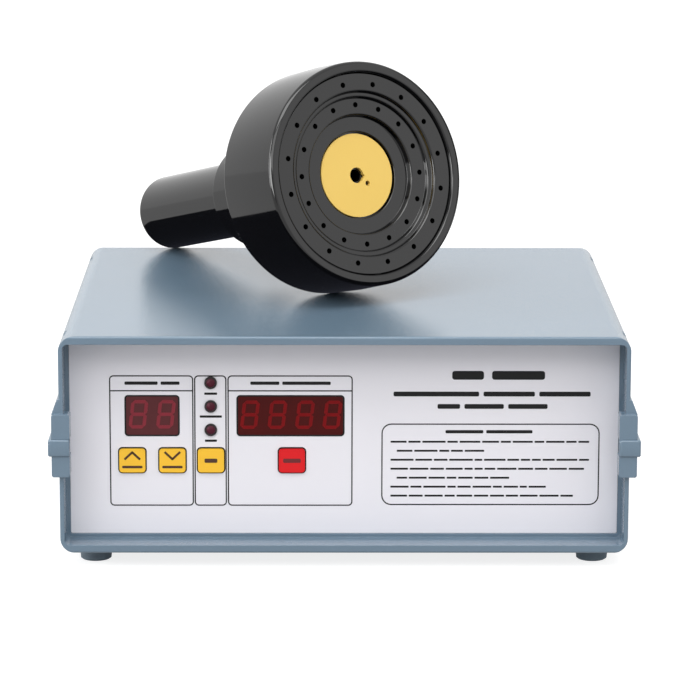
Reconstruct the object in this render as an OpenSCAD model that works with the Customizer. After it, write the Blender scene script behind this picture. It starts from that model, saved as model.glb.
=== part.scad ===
// Hand-held induction cap sealer: desktop generator case with a loose sealing head resting on it.
// Millimetres, +Z up, front of the case faces -Y, feet stand on z = 0.

/* [Case] */
// Width across the two side walls
case_w = 290; // [286:1:300]
// Depth from the front rim to the rear rim
case_d = 265; // [258:1:272]
// Height of the two shells together
case_h = 112.6; // [111:0.2:117]
// Height of the seam above the underside of the case
seam_h = 55.5; // [54:0.5:57]
// Outer corner radius seen from the front
case_r = 8; // [6:0.5:9]
// Rounding of the front and rear rim edges
edge_r = 1.2; // [0.8:0.1:1.6]
// Side wall thickness
wall_t = 2.3; // [2:0.1:2.6]
// Top and bottom wall thickness
skin_t = 3.2; // [2.8:0.1:3.6]
// Thickness of the top and bottom rim lips
rim_t = 4.1; // [3.8:0.1:4.6]
// Depth of the rim lips
rim_l = 5; // [4:0.5:7]
// Depth of the hood in front of each panel
recess_d = 22; // [20:0.5:24]
// Height of the panel retaining ribs above the wall
rib_h = 1.8; // [1.4:0.1:2.2]
// Thickness of the panel retaining ribs
rib_t = 2; // [1.6:0.1:2.4]

/* [Side rails] */
// How far the shell rails stand out from the wall
rail_out = 3.6; // [3:0.1:4]
// How far the locking strips stand out from the wall
band_out = 5.4; // [5:0.1:6]
// Height of a locking strip
band_h = 8.8; // [8:0.2:9.6]
// Height of the upper rail above the seam
rail_up = 24.5; // [22:0.5:26]
// Height of the lower rail below the seam
rail_down = 15.2; // [14:0.2:17]
// Height of the upper end lugs above the seam
lug_up = 17.3; // [16:0.1:19]
// How far the end lugs reach inside the wall face
lug_in = 5.6; // [5:0.1:6.2]
// Length of the lugs inside the hood
lug_l = 8; // [6:0.5:11]
// How far the rails stand proud of the rims
rail_proud = 2.5; // [1.5:0.1:3.5]

/* [Feet] */
// Height of a rubber foot
foot_h = 8; // [7:0.5:10]
// Radius of a rubber foot
foot_r = 8.7; // [8:0.1:10]
// Distance of the foot centres from the side walls
foot_side = 17; // [14:0.5:23]
// Distance of the foot centres from the rims
foot_inset = 21.7; // [18:0.5:26]

/* [Front panel] */
// Panel plate thickness
panel_t = 2; // [1.6:0.1:2.4]
// Overlay film thickness
overlay_t = 0.5; // [0.3:0.1:0.8]
// Width of the short display window
time_w = 28.2; // [24:0.2:30]
// Width of the long display window
out_w = 55.4; // [50:0.2:57]
// Height of both display windows
win_h = 21.6; // [20:0.2:22.4]
// Corner radius of both display windows
win_r = 1.9; // [1:0.1:2.5]
// Distance of the short window's centre from the left side wall
time_side = 46.4; // [45:0.2:48]
// Distance between the centres of the two windows
win_pitch = 71; // [70:0.2:72.4]
// Height of the window centres above the table
win_z = 75; // [74:0.2:76]
// Radius of an indicator lens
led_r = 3.1; // [2.6:0.1:3.4]
// Distance of the lens column from the short window's centre
led_step = 30.1; // [29.8:0.1:30.6]
// Height of the top lens above the table
led_z = 92.4; // [90:0.2:94]
// Vertical pitch of the lenses
led_pitch = 12.35; // [10:0.05:13]
// Width of a key cap
key_s = 13.4; // [11:0.1:13.6]
// Height of a key cap
key_h = 12.4; // [11:0.1:13.6]
// Corner radius of a key cap
key_r = 1.7; // [1:0.1:2.4]
// Gap around a key cap
key_gap = 0.35; // [0.25:0.05:0.5]
// How far the key caps stand out of the overlay
key_proud = 1.2; // [1:0.1:2]
// Key travel
key_travel = 0.7; // [0.4:0.05:1]
// Height of the key row above the table
key_z = 51.6; // [50:0.2:53]
// Distance between the increase and decrease keys
key_pitch = 20.6; // [19:0.1:21]
// Distance of the start key from the long window's centre
start_step = 0.7; // [-5:0.1:7]
// Distance from the panel to the control board
board_gap = 10; // [9.4:0.1:12]

/* [Rear panel] */
// Side of the square fan
fan_s = 80; // [76:1:84]
// Depth of the fan
fan_d = 25; // [20:1:28]
// Distance of the fan centre from the right side wall
fan_side = 73; // [67:1:79]
// Distance of the mains inlet from the left side wall
inlet_side = 47; // [43:1:49]
// Height of the rear fittings above the table
fit_z = 44; // [40:1:50]
// Bore radius of both lead glands
lead_r = 4; // [3:0.1:4.4]

/* [Sealing head] */
// Radius of the cup at its front rim
cup_r = 59.5; // [57:0.1:60]
// Extra radius at the middle of the cup side
cup_draft = 0.7; // [0.3:0.1:1.2]
// Length of the cup behind the outer face ring
cup_l = 46.6; // [43:0.2:50]
// Height of the rim in front of the outer face ring
cup_rim = 2; // [1.5:0.1:2.6]
// Rounding of the front rim
rim_round = 2.3; // [1.6:0.1:2.8]
// Rounding of the rear edge of the cup
rear_round = 2; // [1.4:0.1:2.6]
// Radius of the neck
neck_r = 29.3; // [28:0.1:31]
// Distance of the neck end behind the outer face ring
neck_l = 110.5; // [107:0.5:114]
// Radius of the handle
handle_r = 20.7; // [19:0.1:21.5]
// Distance of the handle end behind the outer face ring
handle_l = 209.8; // [200:0.2:211]
// Rounding of the handle end
handle_round = 2.5; // [1.5:0.1:3.2]
// Radius of the outer ring of holes
hole_ring_a = 47.9; // [47:0.1:48.8]
// Radius of the inner ring of holes
hole_ring_b = 37; // [36.4:0.1:37.8]
// Radius of a face hole
hole_r = 1.3; // [0.8:0.05:1.5]
// Number of holes in each ring
hole_n = 16; // [12:1:18]
// Radius of the opening inside the rim
face_r = 54.3; // [53.8:0.1:55]
// Radius of the first step
step_a = 44; // [43.6:0.1:44.6]
// Radius of the second step
step_b = 41.2; // [40.8:0.1:41.6]
// Radius of the third step
step_c = 31.9; // [31:0.1:33]
// Radius of the pocket around the disc
pocket_r = 23.2; // [22.8:0.1:24]
// Radius of the centre disc
disc_r = 22.2; // [21:0.1:22.4]
// Depth of the first and second steps
step_d = 2.05; // [1.6:0.05:2.4]
// Depth of the third step
step_d3 = 3.2; // [2.6:0.1:3.8]
// Draft of the step walls
step_draft = 0.8; // [0.3:0.1:0.9]
// Radius of the hole in the disc
disc_bore = 4.2; // [3:0.1:4.5]
// Turn of the head axis to the right of straight ahead
head_turn = 32.8; // [28:0.2:36]
// Place of the face centre across the case
head_x = 11.4; // [5:0.2:18]
// Distance of the resting handle end from the rear rim
end_inset = 2; // [1.4:0.1:10]

/* [Hidden] */
$fn = 48;

// Clearance of parts that are pushed together
fit_gap = 0.1;
// Clearance of a turning part on its pin
run_gap = 0.05;
// Clearance of screws in their holes
screw_gap = 0.2;

// Levels and planes of the case
base_z = foot_h;
top_z = base_z + case_h;
mid_z = base_z + case_h / 2;
seam_z = base_z + seam_h;
floor_z = base_z + skin_t;
roof_z = top_z - skin_t;
front_y = -case_d / 2;
back_y = case_d / 2;
in_w = case_w - 2 * wall_t;
in_h = case_h - 2 * skin_t;
mouth_r = 0.8;
in_r = rib_h + mouth_r;
window_w = in_w - 2 * rib_h;
window_h = in_h - 2 * rib_h;
face_y = front_y + recess_d;
panel_y = face_y + overlay_t;
panel_back = panel_y + panel_t;
rear_y = back_y - recess_d;
rear_in = rear_y - panel_t;
board_y = panel_back + board_gap;
board_t = 1.6;
win_flange_t = 1.2;
win_set = 0.3;
win_rim = 1.5;
led_collar = 0.7;

// Places across the front panel
time_x = time_side - case_w / 2;
out_x = time_x + win_pitch;
led_x = time_x + led_step;
inc_x = time_x - key_pitch / 2;
dec_x = time_x + key_pitch / 2;
set_x = led_x;
start_x = out_x + start_step;
key_list = [inc_x, dec_x, set_x, start_x];
switch_top = 4.3;
switch_body = 3.4;
plunger_r = 1.7;
stem_r = 2.2;
key_flange = 1.5;
key_flange_t = 1;
switch_s = 6;

// Control board behind the front panel
board_edge = 12;
board_x0 = time_x - time_w / 2 - board_edge;
board_x1 = out_x + out_w / 2 + board_edge;
board_z0 = key_z - key_h / 2 - board_edge;
board_z1 = led_z + led_r + 7;
spacer_in = 4;
spacer_r = 3;

// Side rail profile
lug_edge = 0.8;
rail_down_full = 0.66 * rail_down;
rail_top_out = 0.8;
slot_h = 5.2;
slot_d = 3;
band_r = 1.6;

// Screws and bosses of the case
boss_r = 5;
boss_x = case_w / 2 - 14;
boss_in = 34;
boss_y = case_d / 2 - recess_d - boss_in;
screw_r = 1.5;
screw_head_r = 3;
screw_head_h = 2.4;
screw_cup = 22;
screw_bite = 14;
foot_x = case_w / 2 - foot_side;
foot_y = case_d / 2 - foot_inset;
foot_seat = 3.2;
foot_bite = skin_t - 0.6;

// Power board
deck_w = 190;
deck_d = 128;
deck_x = -18;
deck_y = -12;
deck_x0 = deck_x - deck_w / 2;
deck_y0 = deck_y - deck_d / 2;
deck_post = 8;
deck_z = floor_z + deck_post;
deck_top = deck_z + board_t;
post_r = 4;
post_in = 6;
post_dx = deck_w / 2 - post_in;
post_dy = deck_d / 2 - post_in;

// Parts on the power board
sink_w = 34;
sink_h = 46;
sink_d = 100;
sink_back = 5;
sink_x = deck_x - 20;
fin_n = 7;
fin_t = 2;
fin_pitch = (sink_h - 2 * fin_t) / (fin_n - 0.5);
fet_w = 16;
fet_h = 24;
fet_t = 5;
fet_pitch = 26;
rect_s = 28;
rect_h = 8;
rect_hole = 2.2;
rect_x = deck_x0 + 27;
rect_edge = 6;
rect_y = deck_y + deck_d / 2 - rect_s / 2 - rect_edge;
can_r = 14;
can_h = 40;
can_edge = 1;
can_pitch = 32;
can_x = deck_x0 + 23;
can_gap = 4;
can_y = rect_y - rect_s / 2 - can_gap - can_r - can_pitch / 2;
film_w = 46;
film_d = 26;
film_h = 34;
film_edge = 25;
film_x = deck_x + deck_w / 2 - film_w / 2 - film_edge;
film_y = deck_y0 + 21;
core_w = 54;
core_h = 48;
core_d = 24;
core_t = 8;
core_edge = 12;
core_x = deck_x + deck_w / 2 - core_w / 2 - core_edge;
core_y = deck_y + 12;
leg_w = 16;
slot_w = 12;
coil_wall = 10;
choke_in = 6;
choke_out = 16;
choke_h = 12;
choke_side = 52;
choke_x = deck_x0 + choke_side;
choke_y = deck_y0 + 20;

// Rear fittings
fan_x = case_w / 2 - fan_side;
inlet_x = inlet_side - case_w / 2;
fan_z = mid_z;
fan_bore = fan_s / 2 - 2;
fan_pitch = 0.894 * fan_s / 2;
fan_hub_r = 17;
spindle_r = 1.5;
guard_r = 1;
spoke_r = 1.2;
guard_eye = 4.4;
guard_hub = 5;
eye_t = 2;
inlet_w = 27;
inlet_h = 19.6;
inlet_l = 20;
inlet_cup = 16;
inlet_wall = 1.9;
inlet_flange_t = 2.5;
inlet_span = 20;
inlet_half = inlet_span + 5;
pin_l = 13;
switch_w = 15;
switch_h = 21;
switch_lip = 1.5;
switch_half = switch_w / 2 + switch_lip;
switch_wall = 1;
switch_depth = 15;
rocker_w = 11.6;
rocker_half = 8.4;
rocker_tilt = 8;
rocker_pin = 1.3;
rocker_in = 3;
fuse_r = 6;
fuse_bore = 4.3;
fuse_stem = 4;
fuse_flange = fuse_r + 2.6;
fuse_flange_t = 2;
fuse_body_l = 24;
fuse_well = 14;
fuse_knob_h = 6;
fuse_stem_l = 12;
gland_r = 7;
gland_hex = 10;
gland_top = lead_r + 3.2;
gland_hex_t = 5;
gland_neck = 11;
gland_dome = 3;
gland_stem_l = 10;
gland_nut_t = 4;

// Inlet, switch, fuse holder and gland stand in one row with equal gaps up to the fan
row_w = fan_x - fan_s / 2 - inlet_x - inlet_half;
row_gap = (row_w - 2 * switch_half - 2 * fuse_flange - 2 * gland_hex) / 4;
switch_x = inlet_x + inlet_half + row_gap + switch_half;
fuse_x = switch_x + switch_half + row_gap + fuse_flange;
gland_x = fuse_x + fuse_flange + row_gap + gland_hex;

// Sealing head: profile along its own axis, outer face ring at zero, face towards +Z
cup_mid = 22.8;
rear_r = cup_r + 0.3;
plate_r = face_r - step_draft;
plate_t = 5;
level_a = -step_d;
level_b = -2 * step_d;
level_c = level_b - step_d3;
disc_face = level_c - 1.2;
disc_t = 2;
disc_seat = disc_face - disc_t;
plate_floor = disc_seat - 4;
plate_back_b = level_b - 4.2;
plate_back_c = level_c - 4.2;
shoulder_l = 16;
chamber_r = plate_r - 3;
chamber_back = 5;
coil_back = plate_floor - 3.6;
coil_t = 4.6;
former_t = 4;
former_back = coil_back - former_t;
ledge_r = chamber_r - 2.5;
ferrite_t = 6;
bore_r = handle_r - 5;
neck_round = 1;
socket_l = 25;
plug_set = 3;
plug_t = 6;
head_gland_l = 10;
head_gland_r = lead_r + 3.5;
gland_taper = 1.6;

// Resting pose of the head: rear edge of the cup and edge of the handle end lie on the top
rest_sink = 0.02;
rest_z = top_z - rest_sink;
ax_cup = cup_l - rear_round;
ax_end = handle_l - handle_round;
ra_cup = rear_r - rear_round;
ra_end = handle_r - handle_round;
run_ax = ax_end - ax_cup;
run_ra = ra_cup - ra_end;
head_tilt = atan2(run_ra, run_ax) + asin((rear_round - handle_round) / norm([run_ax, run_ra]));
head_z = rest_z + rear_round + ax_cup * sin(head_tilt) + ra_cup * cos(head_tilt);
end_reach = ax_end * cos(head_tilt) - ra_end * sin(head_tilt);
head_y = back_y - end_inset - end_reach * cos(head_turn);

// The model is centred over its outline: the handle end reaches past the rear rails
axis_y = cos(head_tilt) * cos(head_turn);
tip_r = head_gland_r - gland_taper;
tip_y = head_y + (handle_l + head_gland_l - plug_set) * axis_y + tip_r * sqrt(1 - axis_y * axis_y);
edge_y = head_y + ax_end * axis_y + ra_end * sqrt(1 - axis_y * axis_y) + handle_round;
rail_y = back_y + rail_proud;
shift_y = (rail_y - max(rail_y, tip_y, edge_y)) / 2;

// Flat rounded rectangle about the origin
module round_rect(w, h, r) {
  square([w - 2 * r, h], center = true);
  square([w, h - 2 * r], center = true);
  for (sx = [-1, 1], sz = [-1, 1])
    translate([sx * (w / 2 - r), sz * (h / 2 - r)]) circle(r);
}

// Extrusion of an X-Z outline between two depths
module along_y(y0, y1) {
  translate([0, y1, 0]) rotate([90, 0, 0]) linear_extrude(y1 - y0) children();
}

// Extrusion of a Y-Z outline between two sides
module along_x(x0, x1) {
  translate([x0, 0, 0]) rotate([90, 0, 90]) linear_extrude(x1 - x0) children();
}

// Box between two corners
module block(a, b) {
  translate(a) cube(b - a);
}

// Round bar along Y
module rod_y(x, z, y0, y1, r) {
  translate([x, y0, z]) rotate([-90, 0, 0]) cylinder(h = y1 - y0, r = r);
}

// Round bar along Z
module rod_z(x, y, z0, z1, r) {
  translate([x, y, z0]) cylinder(h = z1 - z0, r = r);
}

// Whole object centred over its outline
module placed() {
  translate([0, shift_y, 0]) children();
}

// Sealing head frame: origin on the face axis, +Z out of the face, +Y upwards
module head_frame() {
  translate([head_x, head_y, head_z]) rotate([0, 0, head_turn]) rotate([90 - head_tilt, 0, 0]) children();
}

// Outline solid of the closed case
module case_solid() {
  intersection() {
    along_y(front_y, back_y) translate([0, mid_z]) round_rect(case_w, case_h, case_r);
    along_x(-case_w, case_w) translate([0, mid_z]) round_rect(case_d, case_h, edge_r);
    translate([0, 0, base_z - 1]) linear_extrude(case_h + 2) round_rect(case_w, case_d, edge_r);
  }
}

// Space inside the case with narrower mouths at the rims
module case_space() {
  along_y(front_y + rim_l, back_y - rim_l) translate([0, mid_z]) round_rect(in_w, in_h, in_r);
  along_y(front_y - 1, back_y + 1) translate([0, mid_z]) round_rect(in_w, case_h - 2 * rim_t, in_r);
}

// One panel rib around the inside of the case
module rib(y0) {
  along_y(y0, y0 + rib_t) translate([0, mid_z]) difference() {
    round_rect(in_w + wall_t, in_h + skin_t, in_r);
    round_rect(window_w, window_h, mouth_r);
  }
}

// Case walls with the four panel ribs
module case_walls() {
  difference() {
    case_solid();
    case_space();
  }
  rib(panel_y - rib_t);
  rib(panel_back);
  rib(rear_y);
  rib(rear_in - rib_t);
}

// Right-hand upper rail and its end lugs
module upper_rail() {
  low = seam_z + band_h / 2;
  full = seam_z + lug_up;
  high = seam_z + rail_up;
  wall = case_w / 2;
  along_y(front_y, back_y)
    polygon([[wall - 1, low], [wall + rail_out, low], [wall + rail_out, full],
      [wall + rail_top_out, high], [wall - 1, high]]);
  for (y = [front_y - rail_proud, back_y - lug_l])
    along_y(y, y + lug_l + rail_proud)
      polygon([[wall - lug_in, low], [wall + rail_out, low], [wall + rail_out, full - lug_edge],
        [wall + rail_out - lug_edge, full], [wall - lug_in + lug_edge, full], [wall - lug_in, full - lug_edge]]);
  block([wall - 1, front_y, seam_z], [wall + slot_d - fit_gap, back_y, seam_z + slot_h / 2 - fit_gap]);
}

// Right-hand lower rail and its end lugs
module lower_rail() {
  high = seam_z - band_h / 2;
  full = seam_z - rail_down_full;
  low = seam_z - rail_down;
  wall = case_w / 2;
  along_y(front_y, back_y)
    polygon([[wall - 1, high], [wall + rail_out, high], [wall + rail_out, full], [wall, low],
      [wall - 1, low]]);
  for (y = [front_y - rail_proud, back_y - lug_l])
    along_y(y, y + lug_l + rail_proud)
      polygon([[wall - lug_in, high], [wall + rail_out, high], [wall + rail_out, low + lug_edge],
        [wall + rail_out - lug_edge, low], [wall - lug_in + lug_edge, low], [wall - lug_in, low + lug_edge]]);
  block([wall - 1, front_y, seam_z - slot_h / 2 + fit_gap], [wall + slot_d - fit_gap, back_y, seam_z]);
}

// Upper shell
module top_cover() {
  color([0.53, 0.59, 0.65]) difference() {
    union() {
      intersection() {
        case_walls();
        block([-case_w, -case_d, seam_z], [case_w, case_d, top_z + 1]);
      }
      upper_rail();
      mirror([1, 0, 0]) upper_rail();
      for (sx = [-1, 1], sy = [-1, 1])
        rod_z(sx * boss_x, sy * boss_y, seam_z, roof_z + 1, boss_r);
    }
    for (sx = [-1, 1], sy = [-1, 1])
      rod_z(sx * boss_x, sy * boss_y, seam_z - 1, seam_z + screw_bite + 2, screw_r + run_gap);
  }
}

// Lower shell with posts, bosses and floor vents
module bottom_tray() {
  color([0.53, 0.59, 0.65]) difference() {
    union() {
      intersection() {
        case_walls();
        block([-case_w, -case_d, base_z - 1], [case_w, case_d, seam_z]);
      }
      lower_rail();
      mirror([1, 0, 0]) lower_rail();
      for (sx = [-1, 1], sy = [-1, 1]) {
        rod_z(sx * boss_x, sy * boss_y, floor_z - 1, seam_z, boss_r);
        rod_z(deck_x + sx * post_dx, deck_y + sy * post_dy, floor_z - 1, deck_z, post_r);
      }
      tongue();
      mirror([1, 0, 0]) tongue();
    }
    for (sx = [-1, 1], sy = [-1, 1]) {
      rod_z(sx * boss_x, sy * boss_y, base_z - 1, seam_z + 1, screw_r + screw_gap);
      rod_z(sx * boss_x, sy * boss_y, base_z - 1, base_z + screw_cup, screw_head_r + screw_gap);
      rod_z(sx * foot_x, sy * foot_y, base_z - 1, base_z + foot_bite + 0.2, screw_r + run_gap);
      rod_z(deck_x + sx * post_dx, deck_y + sy * post_dy, floor_z + 1, deck_z + 1, screw_r + run_gap);
    }
    for (row = [-1, 1], k = [-4:4])
      floor_vent(deck_x + k * 9, deck_y + row * 24);
  }
}

// Locating tongue along the right-hand seam, between the panels
module tongue() {
  x1 = in_w / 2;
  block([x1 - 1.4, -boss_y + 12, seam_z - 4], [x1 - fit_gap, boss_y - 12, seam_z + 3]);
  block([x1 - 1.4, -boss_y + 12, seam_z - 4], [x1 + 0.5, boss_y - 12, seam_z - 1]);
}

// One round-ended vent slot in the floor
module floor_vent(x, y) {
  translate([x, y, base_z - 1]) linear_extrude(skin_t + 2) round_rect(4, 34, 1.9);
}

// Locking strip over the right-hand seam with its two end plates
module strip() {
  wall = case_w / 2;
  along_y(front_y - rail_proud, back_y + rail_proud) difference() {
    union() {
      translate([wall, seam_z - band_h / 2]) square([band_out - band_r, band_h]);
      translate([wall, seam_z - band_h / 2 + band_r]) square([band_out, band_h - 2 * band_r]);
      for (s = [-1, 1])
        translate([wall + band_out - band_r, seam_z + s * (band_h / 2 - band_r)]) circle(band_r);
    }
    translate([wall - 1, seam_z - slot_h / 2]) square([slot_d + 1, slot_h]);
  }
  for (y = [front_y - rail_proud, back_y])
    block([wall - lug_in, y, seam_z - band_h / 2],
      [wall + band_out - band_r, y + rail_proud, seam_z + band_h / 2]);
}

module right_strip() {
  color([0.53, 0.59, 0.65]) strip();
}

module left_strip() {
  color([0.53, 0.59, 0.65]) mirror([1, 0, 0]) strip();
}

// Outline of the panel openings, grown by a margin
module panel_openings(grow) {
  translate([time_x, win_z]) round_rect(time_w + 2 * grow, win_h + 2 * grow, win_r + grow);
  translate([out_x, win_z]) round_rect(out_w + 2 * grow, win_h + 2 * grow, win_r + grow);
  for (k = [0:2])
    translate([led_x, led_z - k * led_pitch]) circle(led_r + grow);
  for (x = key_list)
    translate([x, key_z]) round_rect(key_s + 2 * key_gap, key_h + 2 * key_gap, key_r + key_gap);
}

// Panel plate held between the ribs
module front_panel() {
  color([0.82, 0.83, 0.85]) along_y(panel_y, panel_back) difference() {
    translate([0, mid_z]) round_rect(in_w - 2 * fit_gap, in_h - 2 * fit_gap, in_r);
    panel_openings(fit_gap);
  }
}

// Printed film on the panel
module panel_overlay() {
  color([0.89, 0.89, 0.91]) along_y(face_y, panel_y) difference() {
    translate([0, mid_z]) round_rect(window_w - 2 * fit_gap, window_h - 2 * fit_gap, mouth_r);
    panel_openings(fit_gap);
  }
}

// Filter window with a flange behind the panel
module window(x, w) {
  along_y(face_y + win_set, panel_back) translate([x, win_z]) round_rect(w, win_h, win_r);
  along_y(panel_back, panel_back + win_flange_t)
    translate([x, win_z]) round_rect(w + 2 * win_rim, win_h + 2 * win_rim, win_r);
}

module time_window() {
  color([0.3, 0.06, 0.06]) window(time_x, time_w);
}

module output_window() {
  color([0.3, 0.06, 0.06]) window(out_x, out_w);
}

// Seven-segment display module between its window and the board
module display(x, w) {
  block([x - w / 2, panel_back + win_flange_t, win_z - win_h / 2], [x + w / 2, board_y, win_z + win_h / 2]);
}

module time_display() {
  color([0.2, 0.2, 0.21]) display(time_x, time_w);
}

module output_display() {
  color([0.2, 0.2, 0.21]) display(out_x, out_w);
}

// Domed lenses with a collar behind the panel
module indicator_leds() {
  color([0.42, 0.08, 0.08]) for (k = [0:2])
    translate([led_x, board_y, led_z - k * led_pitch]) rotate([90, 0, 0]) led(board_y - face_y);
}

// One lens of a given length to the overlay face
module led(reach) {
  dome = 0.45 * led_r;
  ball = (led_r * led_r + dome * dome) / (2 * dome);
  cylinder(h = reach, r = led_r);
  cylinder(h = board_gap, r = led_r + led_collar);
  intersection() {
    translate([0, 0, reach + dome - ball]) sphere(ball);
    translate([0, 0, reach - 0.5]) cylinder(h = dome + 1, r = led_r);
  }
}

// Square key cap with a flange behind the panel and a stem towards its switch
module key_cap(x) {
  stem_end = board_y - switch_top - key_travel - fit_gap;
  flange_y = panel_back + run_gap;
  along_y(face_y - key_proud, flange_y + key_flange_t)
    translate([x, key_z]) round_rect(key_s, key_h, key_r);
  along_y(flange_y, flange_y + key_flange_t)
    translate([x, key_z]) round_rect(key_s + 2 * key_flange, key_h + 2 * key_flange, key_r);
  rod_y(x, key_z, flange_y + key_flange_t / 2, stem_end, stem_r);
}

module key_increase() {
  color([0.96, 0.78, 0.16]) key_cap(inc_x);
}

module key_decrease() {
  color([0.96, 0.78, 0.16]) key_cap(dec_x);
}

module key_set() {
  color([0.96, 0.78, 0.16]) key_cap(set_x);
}

module key_start() {
  color([0.88, 0.14, 0.18]) key_cap(start_x);
}

// Laminate that carries displays, lenses and switches
module control_board() {
  color([0.1, 0.36, 0.2]) difference() {
    block([board_x0, board_y, board_z0], [board_x1, board_y + board_t, board_z1]);
    board_corners() rod_y(0, 0, board_y - 1, board_y + board_t + 1, screw_r);
  }
}

// Four fixing places of the control board
module board_corners() {
  for (x = [board_x0 + spacer_in, board_x1 - spacer_in], z = [board_z0 + spacer_in, board_z1 - spacer_in])
    translate([x, 0, z]) children();
}

// Hollow spacers between the panel and the control board
module board_spacers() {
  color([0.75, 0.75, 0.77]) board_corners() difference() {
    rod_y(0, 0, panel_back, board_y, spacer_r);
    rod_y(0, 0, panel_back + panel_t, board_y + 1, screw_r);
  }
}

// Push switches under the keys
module tact_switches() {
  color([0.16, 0.16, 0.17]) for (x = key_list) {
    block([x - switch_s / 2, board_y - switch_body, key_z - switch_s / 2],
      [x + switch_s / 2, board_y, key_z + switch_s / 2]);
    rod_y(x, key_z, board_y - switch_top, board_y - switch_body + 0.4, plunger_r);
  }
}

// Round rubber feet, narrower at the table, with a pocket for the screw head
module rubber_feet() {
  color([0.27, 0.31, 0.35]) for (sx = [-1, 1], sy = [-1, 1])
    translate([sx * foot_x, sy * foot_y, 0]) rotate_extrude() difference() {
      polygon([[0, 0], [foot_r - 1.6, 0], [foot_r - 0.8, 0.6], [foot_r, foot_h], [0, foot_h]]);
      translate([0, -1]) square([screw_head_r + 0.8, foot_seat + 1]);
      square([screw_r + screw_gap, foot_h + 1]);
    }
}

// Screws that hold the feet
module foot_screws() {
  color([0.7, 0.7, 0.72]) for (sx = [-1, 1], sy = [-1, 1])
    translate([sx * foot_x, sy * foot_y, foot_seat]) {
      difference() {
        translate([0, 0, -screw_head_h]) cylinder(h = screw_head_h, r = screw_head_r);
        cross_slot(-screw_head_h, 1.2);
      }
      cylinder(h = base_z + foot_bite - foot_seat, r = screw_r);
    }
}

// Cross recess cut upwards from a level
module cross_slot(z, depth) {
  for (a = [0, 90])
    rotate([0, 0, a]) translate([-1.8, -0.4, z - 1]) cube([3.6, 0.8, depth + 1]);
}

// Long screws that clamp the two shells
module case_screws() {
  color([0.7, 0.7, 0.72]) for (sx = [-1, 1], sy = [-1, 1])
    translate([sx * boss_x, sy * boss_y, base_z + screw_cup]) {
      difference() {
        translate([0, 0, -screw_head_h]) cylinder(h = screw_head_h, r = screw_head_r);
        cross_slot(-screw_head_h, 1.2);
      }
      cylinder(h = seam_z + screw_bite - base_z - screw_cup, r = screw_r);
    }
}

// Power board on the posts of the tray
module power_board() {
  color([0.12, 0.38, 0.22]) difference() {
    block([deck_x - deck_w / 2, deck_y - deck_d / 2, deck_z],
      [deck_x + deck_w / 2, deck_y + deck_d / 2, deck_top]);
    for (sx = [-1, 1], sy = [-1, 1])
      rod_z(deck_x + sx * post_dx, deck_y + sy * post_dy, deck_z - 1, deck_top + 1, screw_r + screw_gap);
  }
}

// Screws of the power board
module board_screws() {
  color([0.7, 0.7, 0.72]) for (sx = [-1, 1], sy = [-1, 1])
    translate([deck_x + sx * post_dx, deck_y + sy * post_dy, deck_top]) {
      cylinder(h = screw_head_h, r = screw_head_r);
      translate([0, 0, 1.6 - deck_post]) cylinder(h = deck_post - 1, r = screw_r);
    }
}

// Finned heat sink standing on the power board
module heat_sink() {
  color([0.72, 0.73, 0.75]) along_y(deck_y - sink_d / 2, deck_y + sink_d / 2) {
    translate([sink_x, deck_top]) square([sink_back, sink_h]);
    for (k = [0:fin_n - 1])
      translate([sink_x + sink_back - 1, deck_top + fin_t + k * fin_pitch])
        square([sink_w - sink_back + 1, fin_t]);
  }
}

// Power transistors on the flat side of the heat sink
module power_transistors() {
  color([0.12, 0.12, 0.13]) for (k = [-1:1])
    block([sink_x - fet_t, deck_y + k * fet_pitch - fet_w / 2, deck_top],
      [sink_x, deck_y + k * fet_pitch + fet_w / 2, deck_top + fet_h]);
}

// Rectifier block
module bridge_rectifier() {
  color([0.15, 0.15, 0.16]) difference() {
    block([rect_x - rect_s / 2, rect_y - rect_s / 2, deck_top],
      [rect_x + rect_s / 2, rect_y + rect_s / 2, deck_top + rect_h]);
    rod_z(rect_x, rect_y, deck_top - 1, deck_top + rect_h + 1, rect_hole);
  }
}

// Upright smoothing capacitors
module filter_capacitors() {
  color([0.14, 0.17, 0.28]) for (s = [-1, 1])
    translate([can_x, can_y + s * can_pitch / 2, deck_top]) rotate_extrude()
      polygon([[0, 0], [can_r, 0], [can_r, can_h - can_edge], [can_r - can_edge, can_h], [0, can_h]]);
}

// Film capacitor of the work circuit
module resonant_capacitor() {
  color([0.2, 0.33, 0.6])
    block([film_x - film_w / 2, film_y - film_d / 2, deck_top],
      [film_x + film_w / 2, film_y + film_d / 2, deck_top + film_h]);
}

// Ferrite core with a centre leg
module transformer_core() {
  color([0.2, 0.2, 0.2]) translate([core_x, 0, deck_top])
    along_y(core_y - core_d / 2, core_y + core_d / 2) difference() {
      translate([-core_w / 2, 0]) square([core_w, core_h]);
      for (s = [-1, 1])
        translate([s * (leg_w + slot_w) / 2 - slot_w / 2, core_t]) square([slot_w, core_h - 2 * core_t]);
    }
}

// Winding around the centre leg
module transformer_winding() {
  color([0.72, 0.42, 0.2]) translate([core_x, core_y, deck_top + core_t])
    linear_extrude(core_h - 2 * core_t) difference() {
      square([leg_w + 2 * coil_wall, core_d + 2 * coil_wall], center = true);
      square([leg_w, core_d], center = true);
    }
}

// Toroid choke lying on the power board
module input_choke() {
  color([0.68, 0.4, 0.18]) translate([choke_x, choke_y, deck_top]) rotate_extrude()
    polygon([[choke_in, 0], [choke_out, 0], [choke_out, choke_h - 1], [choke_out - 1, choke_h],
      [choke_in, choke_h]]);
}

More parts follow.
